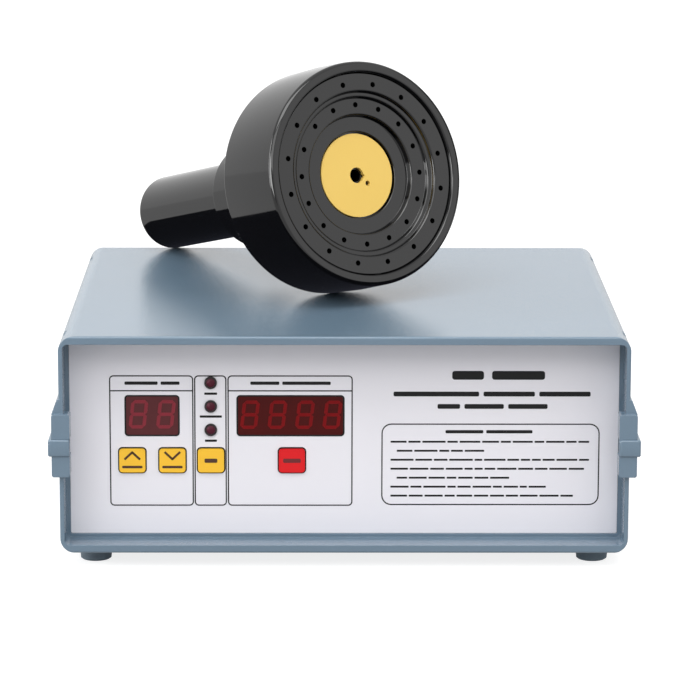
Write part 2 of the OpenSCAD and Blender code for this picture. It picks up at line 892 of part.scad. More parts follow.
// Square fan frame behind the rear panel, with hub seat, struts and spindle
module fan_frame() {
  y1 = rear_in;
  y0 = y1 - fan_d;
  color([0.12, 0.12, 0.13]) {
    difference() {
      along_y(y0, y1) translate([fan_x, fan_z]) round_rect(fan_s, fan_s, 4);
      rod_y(fan_x, fan_z, y0 - 1, y1 + 1, fan_bore);
      for (sx = [-1, 1], sz = [-1, 1])
        rod_y(fan_x + sx * fan_pitch, fan_z + sz * fan_pitch, y0 - 1, y1 + 1, screw_r + run_gap);
    }
    rod_y(fan_x, fan_z, y0 + 0.2, y0 + 3, fan_hub_r);
    rod_y(fan_x, fan_z, y0 + 1, y1 - 3, spindle_r);
    for (a = [45:90:315])
      translate([fan_x, y0 + 0.6, fan_z]) rotate([0, a, 0])
        translate([fan_hub_r - 4, 0, -2]) cube([fan_bore - fan_hub_r + 6, 2, 4]);
  }
}

// Fan wheel on the spindle
module fan_rotor() {
  y0 = rear_in - fan_d + 4;
  y1 = rear_in - 2;
  tip = fan_bore - 1.5;
  color([0.16, 0.16, 0.17]) difference() {
    union() {
      rod_y(fan_x, fan_z, y0, y1, fan_hub_r);
      intersection() {
        rod_y(fan_x, fan_z, y0 + 0.5, y1 - 0.5, tip);
        for (k = [0:6])
          translate([fan_x, (y0 + y1) / 2, fan_z]) rotate([0, k * 360 / 7, 0])
            rotate([42, 0, 0]) translate([fan_hub_r - 3, -14, -0.9]) cube([fan_bore, 28, 1.8]);
      }
    }
    rod_y(fan_x, fan_z, y0 - 1, y1 + 1, spindle_r + run_gap);
  }
}

// Wire guard outside the rear panel: rings lying on four spokes
module fan_guard() {
  reach = norm([fan_pitch, fan_pitch]) - screw_head_r - screw_gap;
  color([0.72, 0.73, 0.75]) translate([fan_x, rear_y, fan_z]) rotate([-90, 0, 0]) {
    for (k = [1:4])
      translate([0, 0, 2 * spoke_r + 0.3]) rotate_extrude()
        translate([k * fan_bore / 4 - 0.5, 0]) circle(guard_r);
    for (a = [45:90:315])
      rotate([0, 0, a]) translate([guard_hub - 1.5, 0, spoke_r]) rotate([0, 90, 0])
        cylinder(h = reach - guard_hub + 1.5, r = spoke_r);
    cylinder(h = 2 * spoke_r + 0.4, r = guard_hub);
    for (sx = [-1, 1], sz = [-1, 1])
      translate([sx * fan_pitch, sz * fan_pitch, 0]) difference() {
        cylinder(h = eye_t, r = guard_eye);
        translate([0, 0, -1]) cylinder(h = eye_t + 2, r = screw_r + screw_gap);
      }
  }
}

// Screws through guard, panel and fan
module fan_screws() {
  color([0.7, 0.7, 0.72]) for (sx = [-1, 1], sz = [-1, 1])
    translate([fan_x + sx * fan_pitch, rear_y + eye_t, fan_z + sz * fan_pitch]) rotate([-90, 0, 0]) {
      difference() {
        cylinder(h = screw_head_h, r = screw_head_r);
        translate([0, 0, screw_head_h - 1.2]) for (a = [0, 90])
          rotate([0, 0, a]) translate([-1.8, -0.4, 0]) cube([3.6, 0.8, 3]);
      }
      translate([0, 0, 2 - eye_t - panel_t - fan_d]) cylinder(h = eye_t + panel_t + fan_d - 1, r = screw_r);
    }
}

// Rear plate with its cut-outs
module rear_panel() {
  color([0.78, 0.79, 0.81]) along_y(rear_in, rear_y) difference() {
    translate([0, mid_z]) round_rect(in_w - 2 * fit_gap, in_h - 2 * fit_gap, in_r);
    translate([fan_x, fan_z]) circle(fan_bore);
    for (sx = [-1, 1], sz = [-1, 1])
      translate([fan_x + sx * fan_pitch, fan_z + sz * fan_pitch]) circle(screw_r + screw_gap);
    translate([inlet_x, fit_z]) square([inlet_w + 2 * fit_gap, inlet_h + 2 * fit_gap], center = true);
    for (s = [-1, 1])
      translate([inlet_x + s * inlet_span, fit_z]) circle(screw_r + run_gap);
    translate([switch_x, fit_z]) square([switch_w + 2 * fit_gap, switch_h + 2 * fit_gap], center = true);
    translate([fuse_x, fit_z]) circle(fuse_r + fit_gap);
    translate([gland_x, fit_z]) circle(gland_r + fit_gap);
  }
}

// Mains inlet: flange, body and the hollow for the connector
module power_inlet() {
  cup_y = rear_y + inlet_flange_t - inlet_cup;
  color([0.1, 0.1, 0.11]) difference() {
    union() {
      along_y(rear_y, rear_y + inlet_flange_t)
        translate([inlet_x, fit_z]) round_rect(2 * inlet_half, inlet_h + 4, 4);
      along_y(rear_y - inlet_l, rear_y + 0.5)
        translate([inlet_x, fit_z]) square([inlet_w, inlet_h], center = true);
    }
    along_y(cup_y, rear_y + 5) translate([inlet_x, fit_z])
      round_rect(inlet_w - 2 * inlet_wall, inlet_h - 2 * inlet_wall, 2);
    for (s = [-1, 1])
      rod_y(inlet_x + s * inlet_span, fit_z, rear_y - 1, rear_y + 5, screw_r + screw_gap);
    inlet_blades();
  }
}

// The three blades of the inlet
module inlet_blades() {
  cup_y = rear_y + inlet_flange_t - inlet_cup;
  for (p = [[-7, -2.5], [0, 2.5], [7, -2.5]])
    block([inlet_x + p[0] - 1, rear_y - inlet_l - 6, fit_z + p[1] - 2],
      [inlet_x + p[0] + 1, cup_y + pin_l, fit_z + p[1] + 2]);
}

module inlet_pins() {
  color([0.82, 0.78, 0.6]) inlet_blades();
}

// Screws of the inlet flange
module inlet_screws() {
  color([0.7, 0.7, 0.72]) for (s = [-1, 1])
    translate([inlet_x + s * inlet_span, rear_y + inlet_flange_t, fit_z]) rotate([-90, 0, 0]) {
      difference() {
        cylinder(h = screw_head_h, r = screw_head_r);
        translate([0, 0, screw_head_h - 1.2]) for (a = [0, 90])
          rotate([0, 0, a]) translate([-1.8, -0.4, 0]) cube([3.6, 0.8, 3]);
      }
      translate([0, 0, -inlet_flange_t - panel_t - 4])
        cylinder(h = inlet_flange_t + panel_t + 5, r = screw_r);
    }
}

// Fuse holder with a flange outside and a body inside
module fuse_holder() {
  color([0.1, 0.1, 0.11]) translate([fuse_x, rear_y, fit_z]) rotate([-90, 0, 0]) difference() {
    union() {
      cylinder(h = fuse_flange_t, r = fuse_flange);
      translate([0, 0, -fuse_body_l]) cylinder(h = fuse_body_l + 1, r = fuse_r);
    }
    translate([0, 0, -fuse_well]) cylinder(h = fuse_well + fuse_flange_t + 1, r = fuse_bore);
  }
}

// Quarter-turn cap of the fuse holder
module fuse_cap() {
  cap_y = rear_y + fuse_flange_t + 0.3;
  color([0.13, 0.13, 0.14]) translate([fuse_x, cap_y, fit_z]) rotate([-90, 0, 0]) difference() {
    union() {
      cylinder(h = fuse_knob_h, r = fuse_r + 0.8);
      translate([0, 0, -fuse_stem_l]) cylinder(h = fuse_stem_l + 1, r = fuse_stem);
    }
    translate([-fuse_r - 2, -0.7, fuse_knob_h - 1.6]) cube([2 * fuse_r + 4, 1.4, 3]);
    for (a = [0:30:330])
      rotate([0, 0, a]) translate([fuse_r + 1.3, 0, 1.5]) cylinder(h = 6, r = 0.9);
  }
}

// Frame and well of the mains switch
module switch_housing() {
  color([0.11, 0.11, 0.12]) difference() {
    union() {
      along_y(rear_y, rear_y + 2) translate([switch_x, fit_z])
        round_rect(2 * switch_half, switch_h + 2 * switch_lip, 1);
      along_y(rear_y - switch_depth, rear_y + 0.5)
        translate([switch_x, fit_z]) square([switch_w, switch_h], center = true);
    }
    along_y(rear_y - switch_depth + 1.5, rear_y + 5) translate([switch_x, fit_z])
      square([switch_w - 2 * switch_wall, switch_h - 2 * switch_wall], center = true);
    translate([switch_x - switch_w / 2 + 0.4, rear_y - rocker_in, fit_z]) rotate([0, 90, 0])
      cylinder(h = switch_w - 0.8, r = rocker_pin + run_gap);
  }
}

// Rocker of the mains switch, lower side pressed
module power_rocker() {
  color([0.75, 0.12, 0.1]) translate([switch_x, rear_y - rocker_in, fit_z]) rotate([rocker_tilt, 0, 0]) {
    along_x(-rocker_w / 2, rocker_w / 2)
      polygon([[-4, -6], [-4, 6], [rocker_in + 3.4, rocker_half], [rocker_in + 2.2, 0],
        [rocker_in + 3.4, -rocker_half]]);
    rotate([0, 90, 0]) cylinder(h = switch_w - 1.2, r = rocker_pin, center = true);
  }
}

// Lead gland: hexagon, domed cap and threaded stem through the rear panel
module lead_gland() {
  color([0.12, 0.12, 0.13]) translate([gland_x, rear_y, fit_z]) rotate([-90, 0, 0]) difference() {
    union() {
      cylinder(h = gland_hex_t, r = gland_hex, $fn = 6);
      translate([0, 0, gland_hex_t - 1]) cylinder(h = gland_neck - gland_hex_t + 1, r = gland_top + 1);
      translate([0, 0, gland_neck]) cylinder(h = gland_dome, r1 = gland_top + 1, r2 = gland_top - 0.4);
      translate([0, 0, -gland_stem_l]) cylinder(h = gland_stem_l + 1, r = gland_r);
    }
    translate([0, 0, -gland_stem_l - 1]) cylinder(h = gland_stem_l + gland_neck + gland_dome + 2, r = lead_r);
  }
}

// Lock nut of the lead gland inside the rear panel
module gland_nut() {
  nut_y = rear_in - gland_nut_t;
  color([0.12, 0.12, 0.13]) translate([gland_x, nut_y, fit_z]) rotate([-90, 0, 0]) difference() {
    cylinder(h = gland_nut_t, r = gland_hex, $fn = 6);
    translate([0, 0, -1]) cylinder(h = gland_nut_t + 2, r = gland_r + run_gap);
  }
}

// Round edge of a turned body: ring of a given edge radius just inside an outer radius
module turned_edge(r, z, round) {
  translate([0, 0, z]) rotate_extrude() translate([r - round, 0]) circle(round);
}

// Turned body between two levels, as a cylinder or a cone
module turned(z0, z1, r0, r1) {
  translate([0, 0, z0]) cylinder(h = z1 - z0, r1 = r0, r2 = r1);
}

// Outside of the cup, its shoulder and its neck
module shell_body() {
  mid_r = cup_r + cup_draft;
  core_r = rear_r - rear_round;
  turned(-cup_mid, cup_rim - rim_round, mid_r, cup_r);
  turned(rear_round - cup_l, -cup_mid, rear_r, mid_r);
  turned(-cup_mid, cup_rim, cup_r - rim_round, cup_r - rim_round);
  turned_edge(cup_r, cup_rim - rim_round, rim_round);
  turned(-cup_l, -cup_mid, core_r, core_r);
  turned_edge(rear_r, rear_round - cup_l, rear_round);
  turned(-cup_l - shoulder_l, -cup_l, neck_r, core_r);
  turned(neck_round - neck_l, -cup_l, neck_r, neck_r);
  turned(-neck_l, -cup_l, neck_r - neck_round, neck_r - neck_round);
  turned_edge(neck_r, neck_round - neck_l, neck_round);
}

// Profile of the space inside the head shell
module shell_space() {
  polygon([[0, cup_rim + 1], [face_r + step_draft / cup_rim, cup_rim + 1], [plate_r, 0], [plate_r, -plate_t],
    [chamber_r, -plate_t], [chamber_r, former_back], [ledge_r, former_back], [ledge_r, chamber_back - cup_l],
    [bore_r, chamber_back - cup_l - 8], [bore_r, -neck_l - 1], [0, -neck_l - 1]]);
  translate([0, -neck_l - 1]) square([handle_r + fit_gap, socket_l + 1]);
}

// Cup and neck of the sealing head
module head_shell() {
  color([0.05, 0.05, 0.055]) head_frame() difference() {
    union() shell_body();
    rotate_extrude() shell_space();
  }
}

// Stepped face that centres caps of several sizes
module face_plate() {
  color([0.06, 0.06, 0.065]) head_frame() difference() {
    rotate_extrude() polygon([
      [0, disc_seat], [pocket_r, disc_seat], [pocket_r, level_c], [step_c - step_draft, level_c],
      [step_c, level_b], [step_b - step_draft, level_b], [step_b, level_a], [step_a - step_draft, level_a],
      [step_a, 0], [plate_r - fit_gap, 0], [plate_r - fit_gap, -plate_t], [step_a + 2, -plate_t],
      [step_a + 2, plate_back_b], [step_c + 2, plate_back_b], [step_c + 2, plate_back_c],
      [pocket_r + 3, plate_back_c], [pocket_r + 3, plate_floor], [0, plate_floor]]);
    for (k = [0:hole_n - 1]) {
      rotate([0, 0, 8.5 + k * 360 / hole_n])
        translate([hole_ring_a, 0, -plate_t - 4]) cylinder(h = 12, r = hole_r);
      rotate([0, 0, 19.7 + k * 360 / hole_n])
        translate([hole_ring_b, 0, plate_back_c - 1]) cylinder(h = 24, r = hole_r);
    }
    translate([0, 0, plate_floor - 1]) cylinder(h = 12, r = disc_bore - 0.8);
  }
}

// Yellow disc in the middle of the face
module centre_disc() {
  color([0.94, 0.8, 0.4]) head_frame() translate([0, 0, disc_seat]) difference() {
    cylinder(h = disc_t, r = disc_r);
    translate([0, 0, -1]) cylinder(h = disc_t + 2, r = disc_bore);
    rotate([0, 0, -8]) translate([disc_bore, 0, -1]) cylinder(h = disc_t + 2, r = 0.8);
    rotate([0, 0, -37]) translate([disc_bore + 3.6, 0, -1]) cylinder(h = disc_t + 2, r = 1.4);
  }
}

// Flat work coil on its former
module work_coil() {
  color([0.72, 0.42, 0.2]) head_frame() translate([0, 0, coil_back]) rotate_extrude() {
    translate([pocket_r + 5, 0]) square([step_a - pocket_r - 4, coil_t - 1]);
    translate([pocket_r + 6, 0]) square([step_a - pocket_r - 6, coil_t]);
  }
}

// Disc that carries the coil
module coil_former() {
  color([0.85, 0.82, 0.72]) head_frame() translate([0, 0, former_back]) rotate_extrude()
    translate([12, 0]) square([chamber_r - fit_gap - 12, former_t]);
}

// Ferrite bars behind the coil
module ferrite_bars() {
  color([0.2, 0.2, 0.21]) head_frame() for (k = [0:5])
    rotate([0, 0, k * 60]) translate([15, -5, former_back - ferrite_t]) cube([ledge_r - 18, 10, ferrite_t]);
}

// Hollow handle pushed into the neck
module handle_tube() {
  color([0.05, 0.05, 0.055]) head_frame() rotate_extrude() difference() {
    union() {
      polygon([[0, handle_round - handle_l], [handle_r, handle_round - handle_l],
        [handle_r, socket_l - neck_l], [0, socket_l - neck_l]]);
      translate([0, -handle_l]) square([handle_r - handle_round, handle_l - neck_l]);
      translate([handle_r - handle_round, handle_round - handle_l]) circle(handle_round);
    }
    translate([0, -handle_l - 1]) square([bore_r, handle_l]);
  }
}

// Plug in the handle end
module handle_plug() {
  color([0.08, 0.08, 0.085]) head_frame() translate([0, 0, plug_set - handle_l]) difference() {
    cylinder(h = plug_t, r = bore_r);
    translate([0, 0, -1]) cylinder(h = plug_t + 2, r = lead_r + 2);
  }
}

// Lead gland of the handle end
module handle_gland() {
  color([0.1, 0.1, 0.105]) head_frame() translate([0, 0, plug_set - handle_l]) difference() {
    union() {
      translate([0, 0, -head_gland_l]) cylinder(h = 3, r1 = head_gland_r - gland_taper, r2 = head_gland_r);
      translate([0, 0, 3 - head_gland_l]) cylinder(h = head_gland_l - 3, r = head_gland_r);
      translate([0, 0, -1]) cylinder(h = plug_t + 5, r = lead_r + 2 - run_gap);
    }
    translate([0, 0, -head_gland_l - 1]) cylinder(h = head_gland_l + plug_t + 6, r = lead_r);
  }
}

placed() top_cover();
placed() bottom_tray();
placed() left_strip();
placed() right_strip();
placed() front_panel();
placed() panel_overlay();
placed() rear_panel();
placed() rubber_feet();
placed() foot_screws();
placed() case_screws();
placed() time_window();
placed() output_window();
placed() time_display();
placed() output_display();
placed() indicator_leds();
placed() key_increase();
placed() key_decrease();
placed() key_set();
placed() key_start();
placed() control_board();
placed() board_spacers();
placed() tact_switches();
placed() power_board();
placed() board_screws();
placed() heat_sink();
placed() power_transistors();
placed() bridge_rectifier();
placed() filter_capacitors();
placed() resonant_capacitor();
placed() transformer_core();
placed() transformer_winding();
placed() input_choke();
placed() fan_frame();
placed() fan_rotor();
placed() fan_guard();
placed() fan_screws();
placed() power_inlet();
placed() inlet_pins();
placed() inlet_screws();
placed() fuse_holder();
placed() fuse_cap();
placed() switch_housing();
placed() power_rocker();
placed() lead_gland();
placed() gland_nut();
placed() head_shell();
placed() face_plate();
placed() centre_disc();
placed() work_coil();
placed() coil_former();
placed() ferrite_bars();
placed() handle_tube();
placed() handle_plug();
placed() handle_gland();
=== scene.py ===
"""Looks of a hand-held induction cap sealer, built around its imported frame.

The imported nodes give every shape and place. This script adds the studio and the finish of each node, the thin layers
that the frame leaves out (print on the panel, marks on the keys, digits and window edges), the lens bezels, and
rounded forms of the sealing head and the locking strips. Sizes are millimetres in the case's own frame, and one
function turns them to metres in the shared frame.
"""
import logging
import math
import random
from dataclasses import dataclass, field
from enum import Enum
from typing import Sequence

import bmesh
import bpy
from mathutils import Matrix, Vector


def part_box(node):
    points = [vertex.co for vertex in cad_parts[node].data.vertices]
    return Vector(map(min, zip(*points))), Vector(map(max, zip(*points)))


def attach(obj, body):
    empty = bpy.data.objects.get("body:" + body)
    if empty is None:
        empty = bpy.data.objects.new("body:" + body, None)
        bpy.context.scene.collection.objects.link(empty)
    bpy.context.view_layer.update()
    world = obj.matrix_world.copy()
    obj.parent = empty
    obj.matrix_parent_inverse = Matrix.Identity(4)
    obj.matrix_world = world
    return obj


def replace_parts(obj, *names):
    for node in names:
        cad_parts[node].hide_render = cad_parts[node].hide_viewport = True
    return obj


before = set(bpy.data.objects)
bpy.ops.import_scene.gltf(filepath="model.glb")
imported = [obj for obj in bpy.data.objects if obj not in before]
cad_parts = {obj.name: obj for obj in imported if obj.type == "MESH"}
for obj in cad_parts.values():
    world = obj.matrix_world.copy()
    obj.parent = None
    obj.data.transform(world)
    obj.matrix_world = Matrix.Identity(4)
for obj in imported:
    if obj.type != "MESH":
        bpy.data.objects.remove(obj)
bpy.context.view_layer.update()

log = logging.getLogger("sealer")

MM = 0.001
WELD_M = 1e-6
FULL_TURN = 2 * math.pi
UPRIGHT = Matrix.Rotation(math.pi / 2, 4, "X")
CASE_BODY = "generator"
WHITE = "#FFFFFF"

# Sockets of the Mix node, whose names repeat: the share, then both values or both colours
MIX_SHARE, MIX_VALUE_A, MIX_VALUE_B, MIX_COLOUR_A, MIX_COLOUR_B = 0, 2, 3, 6, 7
MIX_COLOUR_OUT = 2


def case_middle() -> Vector:
    """Gives the point on the table under the middle of the case, in metres."""
    low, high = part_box("bottom_tray")
    return Vector(((low.x + high.x) / 2, (low.y + high.y) / 2, 0.0))


def at(x: float, y: float, z: float) -> Vector:
    """Turns a place in the case's own frame to metres in the shared frame.

    Args:
        x: millimetres to the right of the middle of the case.
        y: millimetres behind the middle of the case.
        z: millimetres above the table.

    Returns:
        The place in metres.
    """
    return case_middle() + Vector((x, y, z)) * MM


def case_box(node: str) -> tuple[Vector, Vector]:
    """Gives the box of a node in the case's own frame.

    Args:
        node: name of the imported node.

    Returns:
        The lowest and the highest corner in millimetres.
    """
    low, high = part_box(node)
    return (low - case_middle()) / MM, (high - case_middle()) / MM


def linear(hex_colour: str) -> tuple[float, float, float, float]:
    """Turns an sRGB hex colour to the linear colour that Blender's sockets take.

    Args:
        hex_colour: six hex digits after a number sign.

    Returns:
        Linear red, green, blue and an alpha of one.
    """
    parts = [int(hex_colour[i:i + 2], 16) / 255 for i in (1, 3, 5)]
    flat = [c / 12.92 if c <= 0.04045 else ((c + 0.055) / 1.055) ** 2.4 for c in parts]
    return (flat[0], flat[1], flat[2], 1.0)


def per_metre(size_mm: float) -> float:
    """Gives the texture scale whose pattern repeats about every size_mm millimetres."""
    return 1.0 / (size_mm * MM)


def add_node(tree: bpy.types.NodeTree, kind: str, inputs: dict | None = None,
             **settings: object) -> bpy.types.Node:
    """Adds one node with its settings, values and links.

    Args:
        tree: the node tree that gets the node.
        kind: the node's type name.
        inputs: socket name or number to a value, or to the output socket that feeds it.
        settings: attributes of the node.

    Returns:
        The new node.
    """
    node = tree.nodes.new(kind)
    for name, value in settings.items():
        setattr(node, name, value)
    for key, value in (inputs or {}).items():
        if isinstance(value, bpy.types.NodeSocket):
            tree.links.new(value, node.inputs[key])
        else:
            node.inputs[key].default_value = value
    return node


def empty_tree(owner: bpy.types.Material | bpy.types.World) -> bpy.types.NodeTree:
    """Gives a material or a world a node tree with nothing in it.

    Args:
        owner: the material or world.

    Returns:
        Its empty node tree.
    """
    owner.use_nodes = True
    owner.node_tree.nodes.clear()
    return owner.node_tree


class Grain(Enum):
    """How a surface was made, which gives its fine relief."""

    SPARK = "pebbled by a spark eroded mould"
    POLISH = "smooth from a polished mould"
    BRUSH = "brushed or drawn one way"
    CAST = "sintered or cast in cells"


# Detail and roughness of the noise that draws each grain, and how far brush marks are drawn out
GRAIN_NOISE = {Grain.SPARK: (5.0, 0.6), Grain.POLISH: (1.0, 0.6), Grain.BRUSH: (4.0, 0.5)}
BRUSH_STRETCH = (0.04, 1.0, 1.0)


@dataclass(frozen=True)
class Finish:
    """One surface: its colour, its gloss and its fine relief.

    The colour drifts between two near tones, the roughness swings about its mean, and the relief is a bump
    whose width and depth are given in millimetres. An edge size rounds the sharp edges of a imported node.
    """

    name: str
    colour: str
    tone: str
    drift_mm: float
    roughness: float
    swing: float
    grain: Grain
    grain_mm: float
    depth_mm: float
    ior: float = 1.5
    metallic: float = 0.0
    edge_mm: float = 0.0
    least_rough: float = 0.02
    drift_detail: float = 3.0
    edge_samples: int = 6

    def relief(self, tree: bpy.types.NodeTree, place: bpy.types.NodeSocket) -> bpy.types.NodeSocket:
        """Adds the height pattern of the surface.

        Args:
            tree: the material's node tree.
            place: the coordinates that the pattern reads.

        Returns:
            The socket that carries the height.
        """
        scale = per_metre(self.grain_mm)
        if self.grain is Grain.CAST:
            return add_node(tree, "ShaderNodeTexVoronoi", {"Vector": place, "Scale": scale}).outputs["Distance"]
        if self.grain is Grain.BRUSH:
            place = add_node(tree, "ShaderNodeMapping", {"Vector": place, "Scale": BRUSH_STRETCH}).outputs[0]
        detail, rough = GRAIN_NOISE[self.grain]
        noise = add_node(tree, "ShaderNodeTexNoise",
                         {"Vector": place, "Scale": scale, "Detail": detail, "Roughness": rough})
        return noise.outputs[0]

    def build(self) -> bpy.types.Material:
        """Builds the material.

        Returns:
            The material, named for the finish.
        """
        material = bpy.data.materials.new(self.name)
        tree = empty_tree(material)
        place = add_node(tree, "ShaderNodeTexCoord").outputs["Object"]
        cloud = add_node(tree, "ShaderNodeTexNoise",
                         {"Vector": place, "Scale": per_metre(self.drift_mm), "Detail": self.drift_detail})
        tint = add_node(tree, "ShaderNodeMix", {MIX_SHARE: cloud.outputs[0], MIX_COLOUR_A: linear(self.colour),
                                                MIX_COLOUR_B: linear(self.tone)}, data_type="RGBA")
        relief = self.relief(tree, place)
        gloss = add_node(tree, "ShaderNodeMapRange",
                         {"Value": relief, "To Min": max(self.least_rough, self.roughness - self.swing),
                          "To Max": self.roughness + self.swing})
        bump = add_node(tree, "ShaderNodeBump", {"Height": relief, "Strength": 1.0, "Distance": self.depth_mm * MM})
        if self.edge_mm > 0:
            edge = add_node(tree, "ShaderNodeBevel", {"Radius": self.edge_mm * MM}, samples=self.edge_samples)
            tree.links.new(edge.outputs[0], bump.inputs["Normal"])
        shader = add_node(tree, "ShaderNodeBsdfPrincipled",
                          {"Base Color": tint.outputs[MIX_COLOUR_OUT], "Roughness": gloss.outputs[0],
                           "Normal": bump.outputs[0], "Metallic": self.metallic})
        if self.metallic < 1.0:
            shader.inputs["IOR"].default_value = self.ior
        add_node(tree, "ShaderNodeOutputMaterial", {"Surface": shader.outputs[0]})
        return material


# Styrene plastic, moulded in a spark eroded tool: an even blue grey with a soft mirror image. The real grain is
# about 0.1 mm wide, and it is drawn coarser, so that it shows.
CASE_ABS = Finish("moulded_abs_blue_grey", "#627686", "#677B8C", drift_mm=60.0, roughness=0.15, swing=0.05,
                  grain=Grain.SPARK, grain_mm=1.4, depth_mm=0.12, ior=1.54, edge_mm=0.5)
# Phenolic resin, moulded and polished: deep black, a clear mirror of the studio, a faint waviness
HEAD_BLACK = Finish("polished_black_phenolic", "#070708", "#09090A", drift_mm=40.0, roughness=0.07, swing=0.02,
                    grain=Grain.POLISH, grain_mm=16.0, depth_mm=0.006, ior=1.55)
# Fibre-filled resin, cut and sanded: warm yellow with a silk sheen and slight clouding
DISC_YELLOW = Finish("resin_disc_yellow", "#DEBB5E", "#DCB756", drift_mm=18.0, roughness=0.38, swing=0.05,
                     grain=Grain.SPARK, grain_mm=0.8, depth_mm=0.006)
# Polyester film, satin coated: pale and even, with no clear mirror image
FILM = Finish("polyester_film_pale", "#E6E4E9", "#E3E1E7", drift_mm=80.0, roughness=0.42, swing=0.04,
              grain=Grain.SPARK, grain_mm=0.5, depth_mm=0.003)
# Sheet steel, stove enamelled: light grey, a soft sheen over a faint orange peel
PANEL_STEEL = Finish("enamelled_steel_light", "#CFD1D4", "#C8CACE", drift_mm=50.0, roughness=0.38, swing=0.05,
                     grain=Grain.SPARK, grain_mm=1.4, depth_mm=0.008)
# Screen ink, printed: matt and almost black, with a low IOR that keeps thin lines dark
INK = Finish("screen_ink_black", "#060607", "#0A0A0B", drift_mm=6.0, roughness=0.7, swing=0.05, grain=Grain.SPARK,
             grain_mm=0.3, depth_mm=0.002, ior=1.35)
# Screen ink on the yellow keys, printed: matt dark brown
INK_BROWN = Finish("screen_ink_brown", "#381A05", "#402008", drift_mm=6.0, roughness=0.6, swing=0.05,
                   grain=Grain.SPARK, grain_mm=0.3, depth_mm=0.002)
# Screen ink on the red key, printed: matt dark red
INK_WINE = Finish("screen_ink_wine", "#5A0B10", "#631015", drift_mm=6.0, roughness=0.6, swing=0.05, grain=Grain.SPARK,
                  grain_mm=0.3, depth_mm=0.002)
# Vulcanised rubber, moulded: dull, dusty blue grey
FOOT_RUBBER = Finish("vulcanised_rubber_grey", "#5A6873", "#63717C", drift_mm=8.0, roughness=0.72, swing=0.06,
                     grain=Grain.CAST, grain_mm=0.9, depth_mm=0.02)
# Steel screws, turned and zinc plated: bright grey metal with fine marks
ZINC = Finish("zinc_plated_steel", "#C3C5C8", "#B4B6BC", drift_mm=5.0, roughness=0.3, swing=0.08, grain=Grain.BRUSH,
              grain_mm=0.5, depth_mm=0.004, metallic=1.0)
# Steel wire, drawn and plated: smooth bright metal
WIRE = Finish("plated_wire", "#D2D4D7", "#BFC2C7", drift_mm=12.0, roughness=0.2, swing=0.06, grain=Grain.BRUSH,
              grain_mm=0.8, depth_mm=0.004, metallic=1.0)
# Brass blades, nickel plated: pale warm metal
BRASS = Finish("nickel_plated_brass", "#D8CFA8", "#CDC193", drift_mm=5.0, roughness=0.24, swing=0.06,
               grain=Grain.BRUSH, grain_mm=0.4, depth_mm=0.003, metallic=1.0)
# Acrylic filter, polished: dark brown red. Its IOR is low, because the window hardly mirrors the room.
FILTER_TIME = Finish("acrylic_filter_brown_red", "#592226", "#4C1C20", drift_mm=9.0, roughness=0.2, swing=0.02,
                     grain=Grain.POLISH, grain_mm=20.0, depth_mm=0.002, ior=1.35)
# Acrylic filter, polished: a deeper, purer red, and just as little mirror
FILTER_OUT = Finish("acrylic_filter_red", "#4C0A09", "#410706", drift_mm=9.0, roughness=0.2, swing=0.02,
                    grain=Grain.POLISH, grain_mm=20.0, depth_mm=0.002, ior=1.25)
# Unlit digit segments of cast epoxy, seen through the brown red filter: a dim, slightly lighter red
SEGMENT_TIME = Finish("digit_segment_dim", "#862A36", "#78252F", drift_mm=5.0, roughness=0.3, swing=0.03,
                      grain=Grain.POLISH, grain_mm=3.0, depth_mm=0.002, ior=1.3)
# Unlit digit segments of cast epoxy, seen through the red filter: a fuller red
SEGMENT_OUT = Finish("digit_segment_red", "#7E1014", "#6E0D11", drift_mm=5.0, roughness=0.3, swing=0.03,
                     grain=Grain.POLISH, grain_mm=3.0, depth_mm=0.002, ior=1.2)
# Epoxy lens with diffuser, cast: unlit wine red with a soft shine
LENS = Finish("epoxy_lens_wine", "#470F20", "#4F1529", drift_mm=4.0, roughness=0.4, swing=0.02, grain=Grain.POLISH,
              grain_mm=2.0, depth_mm=0.004, ior=1.3)
# Nylon bezel, moulded: near black with a soft sheen
BEZEL = Finish("moulded_nylon_black", "#17090F", "#1E0E14", drift_mm=4.0, roughness=0.28, swing=0.05,
               grain=Grain.SPARK, grain_mm=0.4, depth_mm=0.004)
# Styrene key caps, moulded and silk painted: warm even yellow
KEY_YELLOW = Finish("silk_key_yellow", "#F3BF2E", "#F0B92A", drift_mm=7.0, roughness=0.34, swing=0.04,
                    grain=Grain.SPARK, grain_mm=0.5, depth_mm=0.004)
# Styrene key cap, moulded and silk painted: strong even red
KEY_RED = Finish("silk_key_red", "#DA181F", "#D2151C", drift_mm=7.0, roughness=0.34, swing=0.04, grain=Grain.SPARK,
                 grain_mm=0.5, depth_mm=0.004, ior=1.35)
# Nylon of fan, inlet, switch and glands, moulded: black satin with softly lit edges
NYLON = Finish("moulded_nylon_dark", "#1C1C1E", "#232325", drift_mm=10.0, roughness=0.42, swing=0.06,
               grain=Grain.SPARK, grain_mm=0.7, depth_mm=0.012, edge_mm=0.3)
# Polycarbonate rocker, polished: glossy red
ROCKER_RED = Finish("gloss_rocker_red", "#B81B18", "#AE1815", drift_mm=8.0, roughness=0.2, swing=0.03,
                    grain=Grain.POLISH, grain_mm=5.0, depth_mm=0.006, edge_mm=0.4)
# Glass fibre laminate under solder mask: green with a finely broken sheen
LAMINATE = Finish("solder_mask_green", "#1F5B34", "#26653B", drift_mm=9.0, roughness=0.35, swing=0.06,
                  grain=Grain.CAST, grain_mm=1.2, depth_mm=0.01)
# Aluminium, extruded: light metal with marks along its length
EXTRUSION = Finish("extruded_aluminium", "#C2C4C8", "#B4B7BC", drift_mm=14.0, roughness=0.36, swing=0.06,
                   grain=Grain.BRUSH, grain_mm=0.6, depth_mm=0.006, metallic=1.0)
